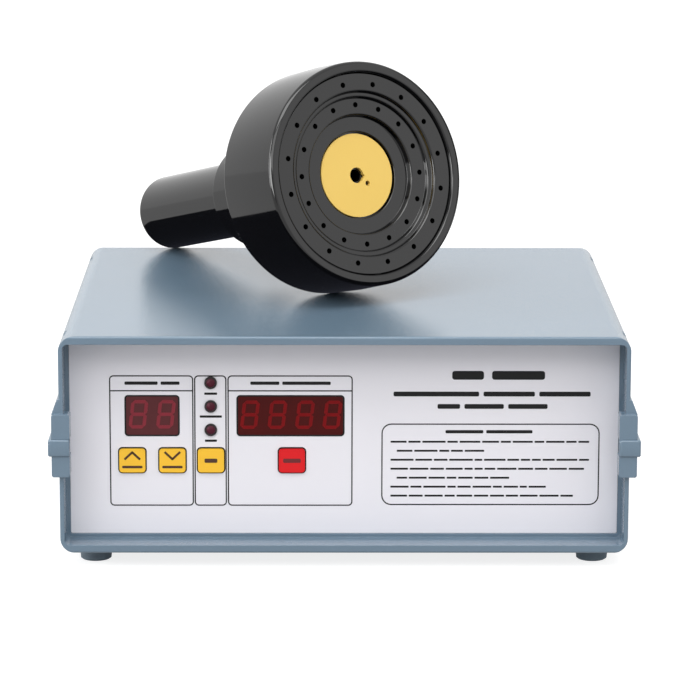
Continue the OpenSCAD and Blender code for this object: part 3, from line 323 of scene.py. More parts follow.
# Epoxy packages, moulded: dull black
EPOXY = Finish("moulded_epoxy_black", "#202022", "#29292C", drift_mm=6.0, roughness=0.5, swing=0.06, grain=Grain.CAST,
               grain_mm=0.6, depth_mm=0.012)
# Shrink sleeve, drawn tight: smooth dark blue
SLEEVE = Finish("shrink_sleeve_blue", "#26385F", "#2E4170", drift_mm=8.0, roughness=0.32, swing=0.05,
                grain=Grain.POLISH, grain_mm=6.0, depth_mm=0.01)
# Ferrite, sintered: dull dark grey, finely grained
FERRITE = Finish("sintered_ferrite", "#333335", "#3C3C3F", drift_mm=5.0, roughness=0.6, swing=0.08, grain=Grain.CAST,
                 grain_mm=0.5, depth_mm=0.02)
# Copper wire, enamelled and wound: warm metal with fine ridges
WINDING = Finish("enamelled_copper", "#B5662C", "#9C5422", drift_mm=4.0, roughness=0.28, swing=0.06,
                 grain=Grain.BRUSH, grain_mm=0.9, depth_mm=0.06, metallic=1.0)
# Nylon coil former, moulded: cream satin
FORMER = Finish("moulded_former_cream", "#DCD5BE", "#D3CBB2", drift_mm=10.0, roughness=0.5, swing=0.05,
                grain=Grain.SPARK, grain_mm=0.8, depth_mm=0.01)


class Paintbox:
    """Builds each finish once, hands out its material and remembers which nodes are dressed."""

    def __init__(self) -> None:
        """Starts with no material built and no node dressed."""
        self.made: dict[str, bpy.types.Material] = {}
        self.dressed: set[str] = set()

    def material(self, finish: Finish) -> bpy.types.Material:
        """Gives the material of a finish, built at its first use.

        Args:
            finish: the finish.

        Returns:
            Its material.
        """
        if finish.name not in self.made:
            self.made[finish.name] = finish.build()
        return self.made[finish.name]

    def dress(self, node: str, finish: Finish) -> None:
        """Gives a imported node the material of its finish.

        Args:
            node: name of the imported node.
            finish: what the node is made of.
        """
        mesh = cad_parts[node].data
        mesh.materials.clear()
        mesh.materials.append(self.material(finish))
        self.dressed.add(node)
        log.info("dressed %s as %s", node, finish.name)


PAINT = Paintbox()


def square(shape: bmesh.types.BMesh, place: Matrix) -> list[bmesh.types.BMVert]:
    """Adds a flat square with sides of one.

    Args:
        shape: the mesh that gets it.
        place: the matrix that gives its size and its place.

    Returns:
        Its corners.
    """
    return bmesh.ops.create_grid(shape, x_segments=1, y_segments=1, size=0.5, matrix=place)["verts"]


def cut_corners(shape: bmesh.types.BMesh, corners: Sequence[bmesh.types.BMVert], size_mm: float,
                steps: int) -> list[bmesh.types.BMVert]:
    """Rounds corners of a flat face, or cuts them straight with a single step.

    Args:
        shape: the mesh of the face.
        corners: the corners.
        size_mm: how much is taken off, in millimetres.
        steps: number of straight pieces in each corner.

    Returns:
        The new vertices.
    """
    return bmesh.ops.bevel(shape, geom=corners, offset=size_mm * MM, offset_type="OFFSET", segments=steps,
                           profile=0.5, affect="VERTICES", material=-1)["verts"]


def thicken(shape: bmesh.types.BMesh, way: Sequence[float]) -> None:
    """Extrudes all flat faces of a shape to solids.

    Args:
        shape: the mesh of flat faces.
        way: how far and which way, in metres.
    """
    done = bmesh.ops.extrude_face_region(shape, geom=shape.faces[:], use_keep_orig=True)
    moved = [part for part in done["geom"] if isinstance(part, bmesh.types.BMVert)]
    bmesh.ops.translate(shape, verts=moved, vec=way)


def to_object(name: str, shape: bmesh.types.BMesh, material: bpy.types.Material | None = None) -> bpy.types.Object:
    """Turns a bmesh to an object of the scene and frees it.

    Args:
        name: the object's name.
        shape: the mesh, in metres in the shared frame.
        material: what it is dressed in.

    Returns:
        The object, at the origin.
    """
    mesh = bpy.data.meshes.new(name)
    shape.to_mesh(mesh)
    shape.free()
    if material:
        mesh.materials.append(material)
    made = bpy.data.objects.new(name, mesh)
    bpy.context.scene.collection.objects.link(made)
    return made


def new_piece(name: str, shape: bmesh.types.BMesh, finish: Finish, body: str,
              sharp_deg: float = 35.0) -> bpy.types.Object:
    """Turns a finished bmesh to a piece that rides on a body.

    Args:
        name: the piece's name.
        shape: the mesh, in metres in the shared frame, which is freed here.
        finish: what the piece is made of.
        body: the body that it moves with.
        sharp_deg: edges that turn more than this stay sharp.

    Returns:
        The piece.
    """
    bmesh.ops.recalc_face_normals(shape, faces=shape.faces)
    piece = to_object(name, shape, PAINT.material(finish))
    piece.data.shade_smooth()
    piece.data.set_sharp_from_angle(angle=math.radians(sharp_deg))
    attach(piece, body)
    log.info("made %s, %d faces", name, len(piece.data.polygons))
    return piece


@dataclass(frozen=True)
class Zone:
    """One part of the room's wall: where it lies, its half angles and its brightness.

    It is full up to the first angle and ends at the second. A mirrored zone is seen by mirror images alone.
    """

    way: tuple[float, float, float]
    full_deg: float
    end_deg: float
    level: float
    mirrored: bool = False


@dataclass(frozen=True)
class Softbox:
    """One soft area light: where it hangs, the point that it faces, its size and its power."""

    name: str
    place_mm: tuple[float, float, float]
    aim_mm: tuple[float, float, float]
    size_m: tuple[float, float]
    watts: float

    def hang(self) -> None:
        """Hangs the light."""
        data = bpy.data.lights.new(self.name, "AREA")
        data.shape = "RECTANGLE"
        data.size, data.size_y = self.size_m
        data.energy = self.watts
        lamp = bpy.data.objects.new(self.name, data)
        place = at(*self.place_mm)
        turn = (at(*self.aim_mm) - place).to_track_quat("-Z", "Y").to_matrix().to_4x4()
        lamp.matrix_world = Matrix.Translation(place) @ turn
        bpy.context.scene.collection.objects.link(lamp)


@dataclass
class Studio:
    """Camera at the photograph's place, white surroundings and soft light.

    The camera was fitted to the case edges in the photograph, and its place is in the case's own frame. The zones
    are the rear wall that the case top mirrors, a brighter wall at the right, a dark gap behind the camera, a dark
    gap at the right rear, and a lamp that glints on the steps of the head's face. The shade card is a dim glowing
    sheet over the case top that only mirrors see. It is a painted dark reflection that stands in for the shade under
    the head.
    """

    lens_px: float = 3570.0
    picture_px: float = 700.0
    sensor_mm: float = 36.0
    sight_m: float = 100.0
    camera_mm: tuple[float, float, float] = (-13.386, -1899.042, 472.696)
    pitch: float = 0.200345
    yaw: float = 0.0090659
    roll: float = 0.0026346
    room: float = 1.0
    backdrop: float = 1.05
    zones: tuple[Zone, ...] = (
        Zone((0.0, 1.0, 0.25), 30.0, 60.0, 1.12),
        Zone((0.892, -0.375, 0.253), 20.0, 38.0, 1.35),
        Zone((-0.25, -0.95, 0.16), 8.0, 20.0, 0.3),
        Zone((0.9, 0.42, 0.08), 18.0, 40.0, 0.12),
        Zone((-0.72, -0.68, 0.1), 16.0, 26.0, 8.0, mirrored=True))
    softboxes: tuple[Softbox, ...] = (
        Softbox("top_softbox", (0.0, -250.0, 1800.0), (0.0, 0.0, 180.0), (1.6, 1.2), 0.5),
        Softbox("front_softbox", (-250.0, -1450.0, 1150.0), (0.0, -100.0, 70.0), (1.6, 0.8), 8.5),
        Softbox("high_softbox", (-150.0, -760.0, 1700.0), (0.0, -130.0, 60.0), (1.6, 0.8), 17.0),
        Softbox("left_softbox", (-1400.0, -60.0, 450.0), (0.0, -60.0, 450.0), (0.5, 1.0), 7.5))
    floor_m: float = 12.0
    paper_tones: tuple[str, str] = ("#A6A6A6", "#A2A2A2")
    fibre_mm: float = 3.0
    paper_glow: float = 0.8
    paper_mirrored: float = 0.85
    # Tone and height of the shade card: a dim glow that paints a dark reflection of the shade under the head
    painted_shade_tone: str = "#2E3038"
    painted_shade_gap_mm: float = 0.6

    def place_camera(self) -> None:
        """Sets the camera from the fitted angles."""
        data = bpy.data.cameras.new("photo_camera")
        data.sensor_width = self.sensor_mm
        data.lens = self.lens_px / self.picture_px * self.sensor_mm
        data.clip_end = self.sight_m
        data.dof.use_dof = False
        ahead = Vector((math.sin(self.yaw) * math.cos(self.pitch), math.cos(self.yaw) * math.cos(self.pitch),
                        -math.sin(self.pitch)))
        level = Vector((math.cos(self.yaw), -math.sin(self.yaw), 0.0))
        upright = level.cross(ahead)
        right = level * math.cos(self.roll) + upright * math.sin(self.roll)
        up = upright * math.cos(self.roll) - level * math.sin(self.roll)
        turn = Matrix((right, up, -ahead)).transposed().to_4x4()
        camera = bpy.data.objects.new("photo_camera", data)
        camera.matrix_world = Matrix.Translation(at(*self.camera_mm)) @ turn
        bpy.context.scene.collection.objects.link(camera)
        bpy.context.scene.camera = camera

    def light_room(self) -> None:
        """Makes the white room with its brighter and darker zones, which the camera sees as plain white."""
        world = bpy.data.worlds.new("white_room")
        tree = empty_tree(world)
        way = add_node(tree, "ShaderNodeTexCoord").outputs["Generated"]
        path = add_node(tree, "ShaderNodeLightPath").outputs
        level: bpy.types.NodeSocket | float = self.room
        for zone in self.zones:
            near = add_node(tree, "ShaderNodeVectorMath", {0: way, 1: Vector(zone.way).normalized()},
                            operation="DOT_PRODUCT")
            share = add_node(tree, "ShaderNodeMapRange",
                             {"Value": near.outputs["Value"], "From Min": math.cos(math.radians(zone.end_deg)),
                              "From Max": math.cos(math.radians(zone.full_deg))}, interpolation_type="SMOOTHSTEP")
            if zone.mirrored:
                share = add_node(tree, "ShaderNodeMath", {0: share.outputs[0], 1: path["Is Glossy Ray"]},
                                 operation="MULTIPLY")
            level = add_node(tree, "ShaderNodeMix", {MIX_SHARE: share.outputs[0], MIX_VALUE_A: level,
                                                     MIX_VALUE_B: zone.level}).outputs[0]
        shown = add_node(tree, "ShaderNodeMix", {MIX_SHARE: path["Is Camera Ray"], MIX_VALUE_A: level,
                                                 MIX_VALUE_B: self.backdrop})
        sky = add_node(tree, "ShaderNodeBackground", {"Color": linear(WHITE), "Strength": shown.outputs[0]})
        add_node(tree, "ShaderNodeOutputWorld", {"Surface": sky.outputs[0]})
        bpy.context.scene.world = world

    def floor_paper(self) -> bpy.types.Material:
        """Makes the pale paper: white to the camera with a faint contact shadow, dimmer as a light for the case.

        Returns:
            The material of the floor.
        """
        material = bpy.data.materials.new("floor_white_paper")
        tree = empty_tree(material)
        place = add_node(tree, "ShaderNodeTexCoord").outputs["Object"]
        fibre = add_node(tree, "ShaderNodeTexNoise", {"Vector": place, "Scale": per_metre(self.fibre_mm)})
        light, dark = self.paper_tones
        tint = add_node(tree, "ShaderNodeMix", {MIX_SHARE: fibre.outputs[0], MIX_COLOUR_A: linear(light),
                                                MIX_COLOUR_B: linear(dark)}, data_type="RGBA")
        paper = add_node(tree, "ShaderNodeBsdfDiffuse", {"Color": tint.outputs[MIX_COLOUR_OUT]})
        white = add_node(tree, "ShaderNodeEmission", {"Color": linear(WHITE), "Strength": self.paper_glow})
        lit = add_node(tree, "ShaderNodeAddShader", {0: paper.outputs[0], 1: white.outputs[0]})
        even = add_node(tree, "ShaderNodeEmission", {"Color": linear(WHITE), "Strength": self.paper_mirrored})
        path = add_node(tree, "ShaderNodeLightPath").outputs
        mixed = add_node(tree, "ShaderNodeMixShader",
                         {0: path["Is Camera Ray"], 1: paper.outputs[0], 2: lit.outputs[0]})
        final = add_node(tree, "ShaderNodeMixShader",
                         {0: path["Is Glossy Ray"], 1: mixed.outputs[0], 2: even.outputs[0]})
        add_node(tree, "ShaderNodeOutputMaterial", {"Surface": final.outputs[0]})
        return material

    def painted_shade_card(self) -> bpy.types.Material:
        """Makes the shade card: a dim dark glow from above, which paints a dark reflection in the head, and clear from
        below.

        Returns:
            The material of the shade card.
        """
        material = bpy.data.materials.new("painted_shade_card_black")
        tree = empty_tree(material)
        # Dim glow in a dark tone: a painted dark reflection of the shaded case top, seen in the head
        dark = add_node(tree, "ShaderNodeEmission", {"Color": linear(self.painted_shade_tone)})
        clear = add_node(tree, "ShaderNodeBsdfTransparent")
        below = add_node(tree, "ShaderNodeNewGeometry").outputs["Backfacing"]
        mixed = add_node(tree, "ShaderNodeMixShader", {0: below, 1: dark.outputs[0], 2: clear.outputs[0]})
        add_node(tree, "ShaderNodeOutputMaterial", {"Surface": mixed.outputs[0]})
        return material

    def lay_floor(self) -> None:
        """Lays the pale floor."""
        shape = bmesh.new()
        square(shape, Matrix.Scale(self.floor_m, 4))
        to_object("floor", shape, self.floor_paper())

    def lay_painted_shade_card(self) -> None:
        """Lays a dim glowing card over the case that only mirrors see. It is a painted dark reflection, standing in
        for the shade under the head, so that the underside of the head stays black.
        """
        low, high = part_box("top_cover")
        shape = bmesh.new()
        place = Matrix.Translation(((low.x + high.x) / 2, (low.y + high.y) / 2, high.z + self.painted_shade_gap_mm * MM))
        size = Matrix.Diagonal((high.x - low.x, high.y - low.y, 1.0, 1.0))
        square(shape, place @ size)
        painted_shade_sheet = to_object("painted_shade_sheet", shape, self.painted_shade_card())
        # Seen by mirror images alone, so the card only paints a dark reflection and casts no shade
        painted_shade_sheet.visible_camera = painted_shade_sheet.visible_diffuse = painted_shade_sheet.visible_shadow = False
        painted_shade_sheet.visible_transmission = painted_shade_sheet.visible_volume_scatter = False

    def build(self) -> None:
        """Makes camera, room, floor, the card that paints a dark reflection under the head, and lights."""
        bpy.context.scene.view_settings.view_transform = "Standard"
        self.place_camera()
        self.light_room()
        self.lay_floor()
        self.lay_painted_shade_card()
        for softbox in self.softboxes:
            softbox.hang()
        log.info("studio is set")


@dataclass
class InkSheet:
    """One upright layer of ink: flat plates that get their thickness towards the viewer at the end."""

    face_mm: float
    thick_mm: float
    corner_steps: int = 6
    bar_gap: float = 0.9
    bar_round: float = 0.3
    shape: bmesh.types.BMesh = field(default_factory=bmesh.new)

    def plate(self, x0: float, z0: float, x1: float, z1: float, corner: float = 0.0) -> list[bmesh.types.BMFace]:
        """Adds one upright rectangle, with round corners if asked.

        Args:
            x0: left side.
            z0: lower side.
            x1: right side.
            z1: upper side.
            corner: corner radius.

        Returns:
            The new faces.
        """
        middle = at((x0 + x1) / 2, self.face_mm, (z0 + z1) / 2)
        size = Matrix.Diagonal(((x1 - x0) * MM, (z1 - z0) * MM, 1.0, 1.0))
        verts = square(self.shape, Matrix.Translation(middle) @ UPRIGHT @ size)
        if corner > 0:
            verts = cut_corners(self.shape, verts, corner, self.corner_steps)
        return list({face for vert in verts for face in vert.link_faces})

    def outline(self, x0: float, z0: float, x1: float, z1: float, corner: float, line: float) -> None:
        """Adds one round-cornered frame line.

        Args:
            x0: left side.
            z0: lower side.
            x1: right side.
            z1: upper side.
            corner: outer corner radius.
            line: width of the line, which lies inside the sides.
        """
        faces = self.plate(x0, z0, x1, z1, corner)
        bmesh.ops.inset_region(self.shape, faces=faces, thickness=line * MM, use_even_offset=True, use_boundary=True)
        bmesh.ops.delete(self.shape, geom=faces, context="FACES")

    def bars(self, x0: float, x1: float, z: float, high: float, lengths: Sequence[float]) -> None:
        """Adds one row of plain bars.

        Args:
            x0: left end of the row.
            x1: right end of the row.
            z: middle height of the row.
            high: height of a bar.
            lengths: relative lengths of the bars.
        """
        gap = high * self.bar_gap
        room = (x1 - x0) - gap * (len(lengths) - 1)
        x = x0
        for part in lengths:
            wide = room * part / sum(lengths)
            self.plate(x, z - high / 2, x + wide, z + high / 2, high * self.bar_round)
            x += wide + gap

    def to_piece(self, name: str, finish: Finish, body: str) -> None:
        """Gives the layer its thickness and makes it a piece.

        Args:
            name: the piece's name.
            finish: the ink.
            body: the body that it moves with.
        """
        thicken(self.shape, (0.0, -self.thick_mm * MM, 0.0))
        new_piece(name, self.shape, finish, body)


class Side(Enum):
    """Side of the case or of a mark, as its sign across."""

    LEFT = -1
    RIGHT = 1


class SubAssembly:
    """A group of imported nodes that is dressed, and completed with the pieces that the frame leaves out."""

    def finishes(self) -> dict[str, Finish]:
        """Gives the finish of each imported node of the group."""
        return {}

    def model(self) -> None:
        """Adds no piece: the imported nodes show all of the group."""

    def build(self) -> None:
        """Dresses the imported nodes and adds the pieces."""
        for node, finish in self.finishes().items():
            PAINT.dress(node, finish)
        self.model()


class CaseShells(SubAssembly):
    """Upper and lower shell of the case with feet and screws."""

    def finishes(self) -> dict[str, Finish]:
        """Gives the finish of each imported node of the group."""
        return {"top_cover": CASE_ABS, "bottom_tray": CASE_ABS, "rubber_feet": FOOT_RUBBER, "foot_screws": ZINC,
                "case_screws": ZINC}


@dataclass(frozen=True)
class BarRow:
    """One row of plain bars: its ends, its middle height, the height of a bar and the relative lengths."""

    x0: float
    x1: float
    z: float
    high: float
    lengths: tuple[float, ...]


@dataclass
class FrontPanel(SubAssembly):
    """Front plate and its film, printed with frames, rules and plain bars."""

    ink_mm: float = 0.06
    line: float = 0.64
    frame_r: float = 2.2
    frame_low: float = 27.5
    frame_high: float = 96.2
    frames_x: tuple[tuple[float, float], ...] = ((-120.5, -77.4), (-77.0, -60.4), (-59.9, 4.3))
    ruled: tuple[int, ...] = (0, 2)
    rule_z: float = 88.1
    rows: tuple[BarRow, ...] = (
        BarRow(-112.6, -84.4, 92.1, 1.7, (7, 4)), BarRow(-48.2, -7.0, 92.1, 1.7, (6, 10)),
        BarRow(-71.8, -65.2, 86.6, 1.2, (1,)), BarRow(-74.2, -62.8, 74.6, 1.2, (1,)),
        BarRow(-71.6, -65.4, 61.9, 1.2, (1,)),
        BarRow(55.2, 102.8, 96.3, 4.6, (3, 5)), BarRow(25.2, 126.3, 86.5, 2.5, (15, 9, 9)),
        BarRow(47.8, 104.3, 80.0, 2.5, (4, 7, 7)), BarRow(52.0, 96.7, 66.7, 1.7, (9, 11)))
    block: tuple[float, float, float, float] = (19.1, 27.9, 131.3, 71.0)
    block_r: float = 5.1
    block_rows: tuple[tuple[float, float], ...] = (
        (23.8, 126.0), (27.0, 72.0), (23.8, 126.0), (23.8, 123.5), (27.0, 85.0), (23.8, 104.0), (23.8, 118.0))
    block_top: float = 61.4
    block_pitch: float = 4.75
    block_bar: float = 1.0
    bar_every: float = 8.0
    bar_lengths: tuple[float, float] = (2.0, 7.0)
    seed: int = 7

    def finishes(self) -> dict[str, Finish]:
        """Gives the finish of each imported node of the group."""
        return {"front_panel": PANEL_STEEL, "panel_overlay": FILM}

    def block_bars(self) -> list[BarRow]:
        """Draws the rows of the framed block, with bars of uneven length.

        Returns:
            The rows from the top down.
        """
        draw = random.Random(self.seed)
        rows: list[BarRow] = []
        for k, (x0, x1) in enumerate(self.block_rows):
            lengths = tuple(draw.uniform(*self.bar_lengths) for _ in range(int((x1 - x0) / self.bar_every)))
            rows.append(BarRow(x0, x1, self.block_top - self.block_pitch * k, self.block_bar, lengths))
        return rows

    def model(self) -> None:
        """Makes the black print of the panel."""
        sheet = InkSheet(case_box("panel_overlay")[0].y, self.ink_mm)
        half = self.line / 2
        for x0, x1 in self.frames_x:
            sheet.outline(x0, self.frame_low, x1, self.frame_high, self.frame_r, self.line)
        for k in self.ruled:
            x0, x1 = self.frames_x[k]
            sheet.plate(x0 + half, self.rule_z - half, x1 - half, self.rule_z + half)
        sheet.outline(*self.block, self.block_r, self.line)
        for row in (*self.rows, *self.block_bars()):
            sheet.bars(row.x0, row.x1, row.z, row.high, row.lengths)
        sheet.to_piece("panel_print", INK, CASE_BODY)


class Mark(Enum):
    """What is printed on a key cap."""

    UP = "chevron upwards over a bar"
    DOWN = "chevron downwards over a bar"
    BAR = "one bar in the middle"


@dataclass(frozen=True)
class KeyCap:
    """One key: its node, body, slot and finish, and the name, ink, kind and half width of its mark."""

    node: str
    body: str
    slot: str
    finish: Finish
    mark_name: str
    ink: Finish
    mark: Mark
    bar_half: float


@dataclass
class Keys(SubAssembly):
    """Key caps: a dark outline on the film round each cap, and a plain mark on it."""

    caps: tuple[KeyCap, ...] = (
        KeyCap("key_increase", "increase_key", "key_yellow", KEY_YELLOW, "increase_mark", INK_BROWN, Mark.UP, 5.2),
        KeyCap("key_decrease", "decrease_key", "key_yellow", KEY_YELLOW, "decrease_mark", INK_BROWN, Mark.DOWN, 5.2),
        KeyCap("key_set", "set_key", "key_yellow", KEY_YELLOW, "set_mark", INK_BROWN, Mark.BAR, 3.3),
        KeyCap("key_start", "start_key", "key_red", KEY_RED, "start_mark", INK_WINE, Mark.BAR, 4.5))
    ink_mm: float = 0.06
    outline_w: float = 14.75
    outline_h: float = 13.9
    outline_r: float = 2.3
    outline_line: float = 0.64
    bar_high: float = 2.2
    bar_r: float = 0.6
    foot_low: float = 4.0
    foot_high: float = 2.7
    foot_r: float = 0.4
    stroke: float = 1.15
    chevron_w: float = 7.6
    chevron_h: float = 3.6
    chevron_z: float = 2.6

    def finishes(self) -> dict[str, Finish]:
        """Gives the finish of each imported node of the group."""
        return {**{cap.node: cap.finish for cap in self.caps}, "tact_switches": EPOXY}

    def middle(self, node: str) -> tuple[float, float, float]:
        """Gives the middle of a key's face.

        Args:
            node: the cap's node.

        Returns:
            The place in the case's own frame.
        """
        low, high = case_box(node)
        return ((low.x + high.x) / 2, low.y, (low.z + high.z) / 2)

    def outlines(self) -> None:
        """Prints the dark outline round every cap."""
        sheet = InkSheet(case_box("panel_overlay")[0].y, self.ink_mm)
        wide, high = self.outline_w / 2, self.outline_h / 2
        for cap in self.caps:
            x, _, z = self.middle(cap.node)
            sheet.outline(x - wide, z - high, x + wide, z + high, self.outline_r, self.outline_line)
        sheet.to_piece("key_outlines", INK, CASE_BODY)

    def chevron(self, sheet: InkSheet, x: float, z: float, up: int) -> None:
        """Adds the two arms of a chevron.

        Args:
            sheet: the print that gets them.
            x: middle of the cap across.
            z: middle height of the cap.
            up: one for upwards, minus one for downwards.
        """
        length = math.hypot(self.chevron_w / 2, self.chevron_h) + self.stroke / 2
        slope = math.atan2(self.chevron_h, self.chevron_w / 2)
        for side in Side:
            arm = sheet.plate(x - length / 2, z - self.stroke / 2, x + length / 2, z + self.stroke / 2)
            place = at(x + side.value * self.chevron_w / 4, sheet.face_mm, z + self.chevron_z)
            turn = Matrix.Rotation(side.value * up * slope, 4, "Y")
            move = Matrix.Translation(place) @ turn @ Matrix.Translation(-at(x, sheet.face_mm, z))
            bmesh.ops.transform(sheet.shape, matrix=move, verts=list({vert for face in arm for vert in face.verts}))

    def print_mark(self, cap: KeyCap) -> None:
        """Prints the mark on one cap.

        Args:
            cap: the key.
        """
        x, y, z = self.middle(cap.node)
        sheet = InkSheet(y, self.ink_mm)
        if cap.mark is Mark.BAR:
            sheet.plate(x - cap.bar_half, z - self.bar_high / 2, x + cap.bar_half, z + self.bar_high / 2, self.bar_r)
        else:
            sheet.plate(x - cap.bar_half, z - self.foot_low, x + cap.bar_half, z - self.foot_high, self.foot_r)
            self.chevron(sheet, x, z, 1 if cap.mark is Mark.UP else -1)
        sheet.to_piece(cap.mark_name, cap.ink, cap.body)

    def model(self) -> None:
        """Makes the outlines and the marks."""
        self.outlines()
        for cap in self.caps:
            self.print_mark(cap)


@dataclass
class DisplayWindow(SubAssembly):
    """A filter window over its display module, with slanted seven-segment digits and a dark edge."""

    name: str
    window: str
    module: str
    pane: Finish
    segments: Finish
    count: int
    first_mm: float
    top_mm: float
    pitch_mm: float = 14.1
    wide: float = 8.8
    high: float = 15.0
    stroke: float = 1.8
    point: float = 0.48
    slant: float = 0.12
    gap: float = 0.15
    film_mm: float = 0.05
    rim_mm: float = 1.5
    edge_mm: float = 0.8
    corner_mm: float = 1.9

    def finishes(self) -> dict[str, Finish]:
        """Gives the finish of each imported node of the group."""
        return {self.window: self.pane, self.module: EPOXY}

    def segment(self, shape: bmesh.types.BMesh, x: float, z: float, length: float,
                upright: bool) -> list[bmesh.types.BMVert]:
        """Adds one segment with pointed ends, flat in the X-Z plane of a digit at the origin.

        Args:
            shape: the mesh that gets it.
            x: middle across.
            z: middle height.
            length: length from point to point.
            upright: whether it stands.

        Returns:
            Its vertices.
        """
        turn = Matrix.Rotation(math.pi / 2, 4, "Y") if upright else Matrix.Identity(4)
        size = Matrix.Diagonal((length * MM, self.stroke * MM, 1.0, 1.0))
        place = Matrix.Translation(Vector((x, 0.0, z)) * MM) @ turn @ UPRIGHT @ size
        return cut_corners(shape, square(shape, place), self.stroke * self.point, 1)

    def digit(self, shape: bmesh.types.BMesh, foot: Vector) -> None:
        """Adds one slanted digit with all seven segments.

        Args:
            shape: the mesh that gets it.
            foot: the left end of the digit's foot, in metres in the shared frame.
        """
        across = self.wide - self.stroke
        rise = (self.high - self.stroke) / 2
        verts: list[bmesh.types.BMVert] = []
        for k in range(3):
            verts += self.segment(shape, self.wide / 2, self.stroke / 2 + k * rise, across - self.gap, False)
        for side in (0, 1):
            for k in range(2):
                verts += self.segment(shape, self.stroke / 2 + side * across, self.stroke / 2 + (k + 0.5) * rise,
                                      rise - self.gap, True)
        shear = Matrix.Identity(4)
        shear[0][2] = self.slant
        bmesh.ops.transform(shape, matrix=Matrix.Translation(foot) @ shear, verts=verts)

    def digits(self) -> None:
        """Makes the digits of the window as one piece."""
        low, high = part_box(self.window)
        sheet = InkSheet(case_box(self.window)[0].y, self.film_mm)
        for k in range(self.count):
            self.digit(sheet.shape, Vector((low.x + (self.first_mm + k * self.pitch_mm) * MM, low.y,
                                            high.z - (self.top_mm + self.high) * MM)))
        sheet.to_piece(self.name, self.segments, CASE_BODY)

    def edge(self) -> None:
        """Makes the dark edge round the window, inside its opening."""
        low, high = case_box(self.window)
        sheet = InkSheet(low.y, self.film_mm)
        sheet.outline(low.x + self.rim_mm, low.z + self.rim_mm, high.x - self.rim_mm, high.z - self.rim_mm,
                      self.corner_mm, self.edge_mm)
        sheet.to_piece(self.name + "_edge", INK, CASE_BODY)

    def model(self) -> None:
        """Makes the digits and the dark edge."""
        self.digits()
        self.edge()


@dataclass
class Indicators(SubAssembly):
    """Three lenses in black bezels."""

    count: int = 3
    inner: float = 2.25
    outer: float = 3.25
    proud: float = 0.9
    steps: int = 40

    def finishes(self) -> dict[str, Finish]:
        """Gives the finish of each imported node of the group."""
        return {"indicator_leds": LENS}

    def model(self) -> None:
        """Spins one bezel section round each lens."""
        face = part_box("panel_overlay")[0].y
        low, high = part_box("indicator_leds")
        radius = (high.x - low.x) / 2
        pitch = (high.z - low.z - 2 * radius) / (self.count - 1)
        size = Matrix.Diagonal(((self.outer - self.inner) * MM, self.proud * MM, 1.0, 1.0))
        shape = bmesh.new()
        for k in range(self.count):
            centre = Vector(((low.x + high.x) / 2, face, low.z + radius + k * pitch))
            middle = centre + Vector(((self.inner + self.outer) / 2, -self.proud / 2, 0.0)) * MM
            verts = square(shape, Matrix.Translation(middle) @ size)
            edges = list({edge for vert in verts for edge in vert.link_edges})
            bmesh.ops.delete(shape, geom=list({face for vert in verts for face in vert.link_faces}),
                             context="FACES_ONLY")
            bmesh.ops.spin(shape, geom=verts + edges, cent=centre, axis=(0.0, 1.0, 0.0), angle=FULL_TURN,
                           steps=self.steps, use_merge=True)
        bmesh.ops.remove_doubles(shape, verts=shape.verts, dist=WELD_M)
        new_piece("lens_bezels", shape, BEZEL, CASE_BODY)


class RearPanel(SubAssembly):
    """Rear plate with fan, mains inlet, fuse holder, switch and lead gland."""

    def finishes(self) -> dict[str, Finish]:
        """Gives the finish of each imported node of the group."""
        return {"rear_panel": PANEL_STEEL, "fan_frame": NYLON, "fan_rotor": NYLON, "fan_guard": WIRE,
                "fan_screws": ZINC, "power_inlet": NYLON, "inlet_pins": BRASS, "inlet_screws": ZINC,
                "fuse_holder": NYLON, "fuse_cap": NYLON, "switch_housing": NYLON, "power_rocker": ROCKER_RED,
                "lead_gland": NYLON, "gland_nut": NYLON}


class Electronics(SubAssembly):
    """Boards and components inside the case."""

    def finishes(self) -> dict[str, Finish]:
        """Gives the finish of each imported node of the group."""
        return {"control_board": LAMINATE, "power_board": LAMINATE, "board_screws": ZINC, "board_spacers": ZINC,
                "heat_sink": EXTRUSION, "power_transistors": EPOXY, "bridge_rectifier": EPOXY,
                "filter_capacitors": SLEEVE, "resonant_capacitor": SLEEVE, "transformer_core": FERRITE,
                "transformer_winding": WINDING, "input_choke": WINDING}


@dataclass(frozen=True)
class HoleRing:
    """One ring of drilled holes: its radius, its first angle, the bottom of the holes and the face above them."""

    radius: float
    start_deg: float
    low: float
    face: float


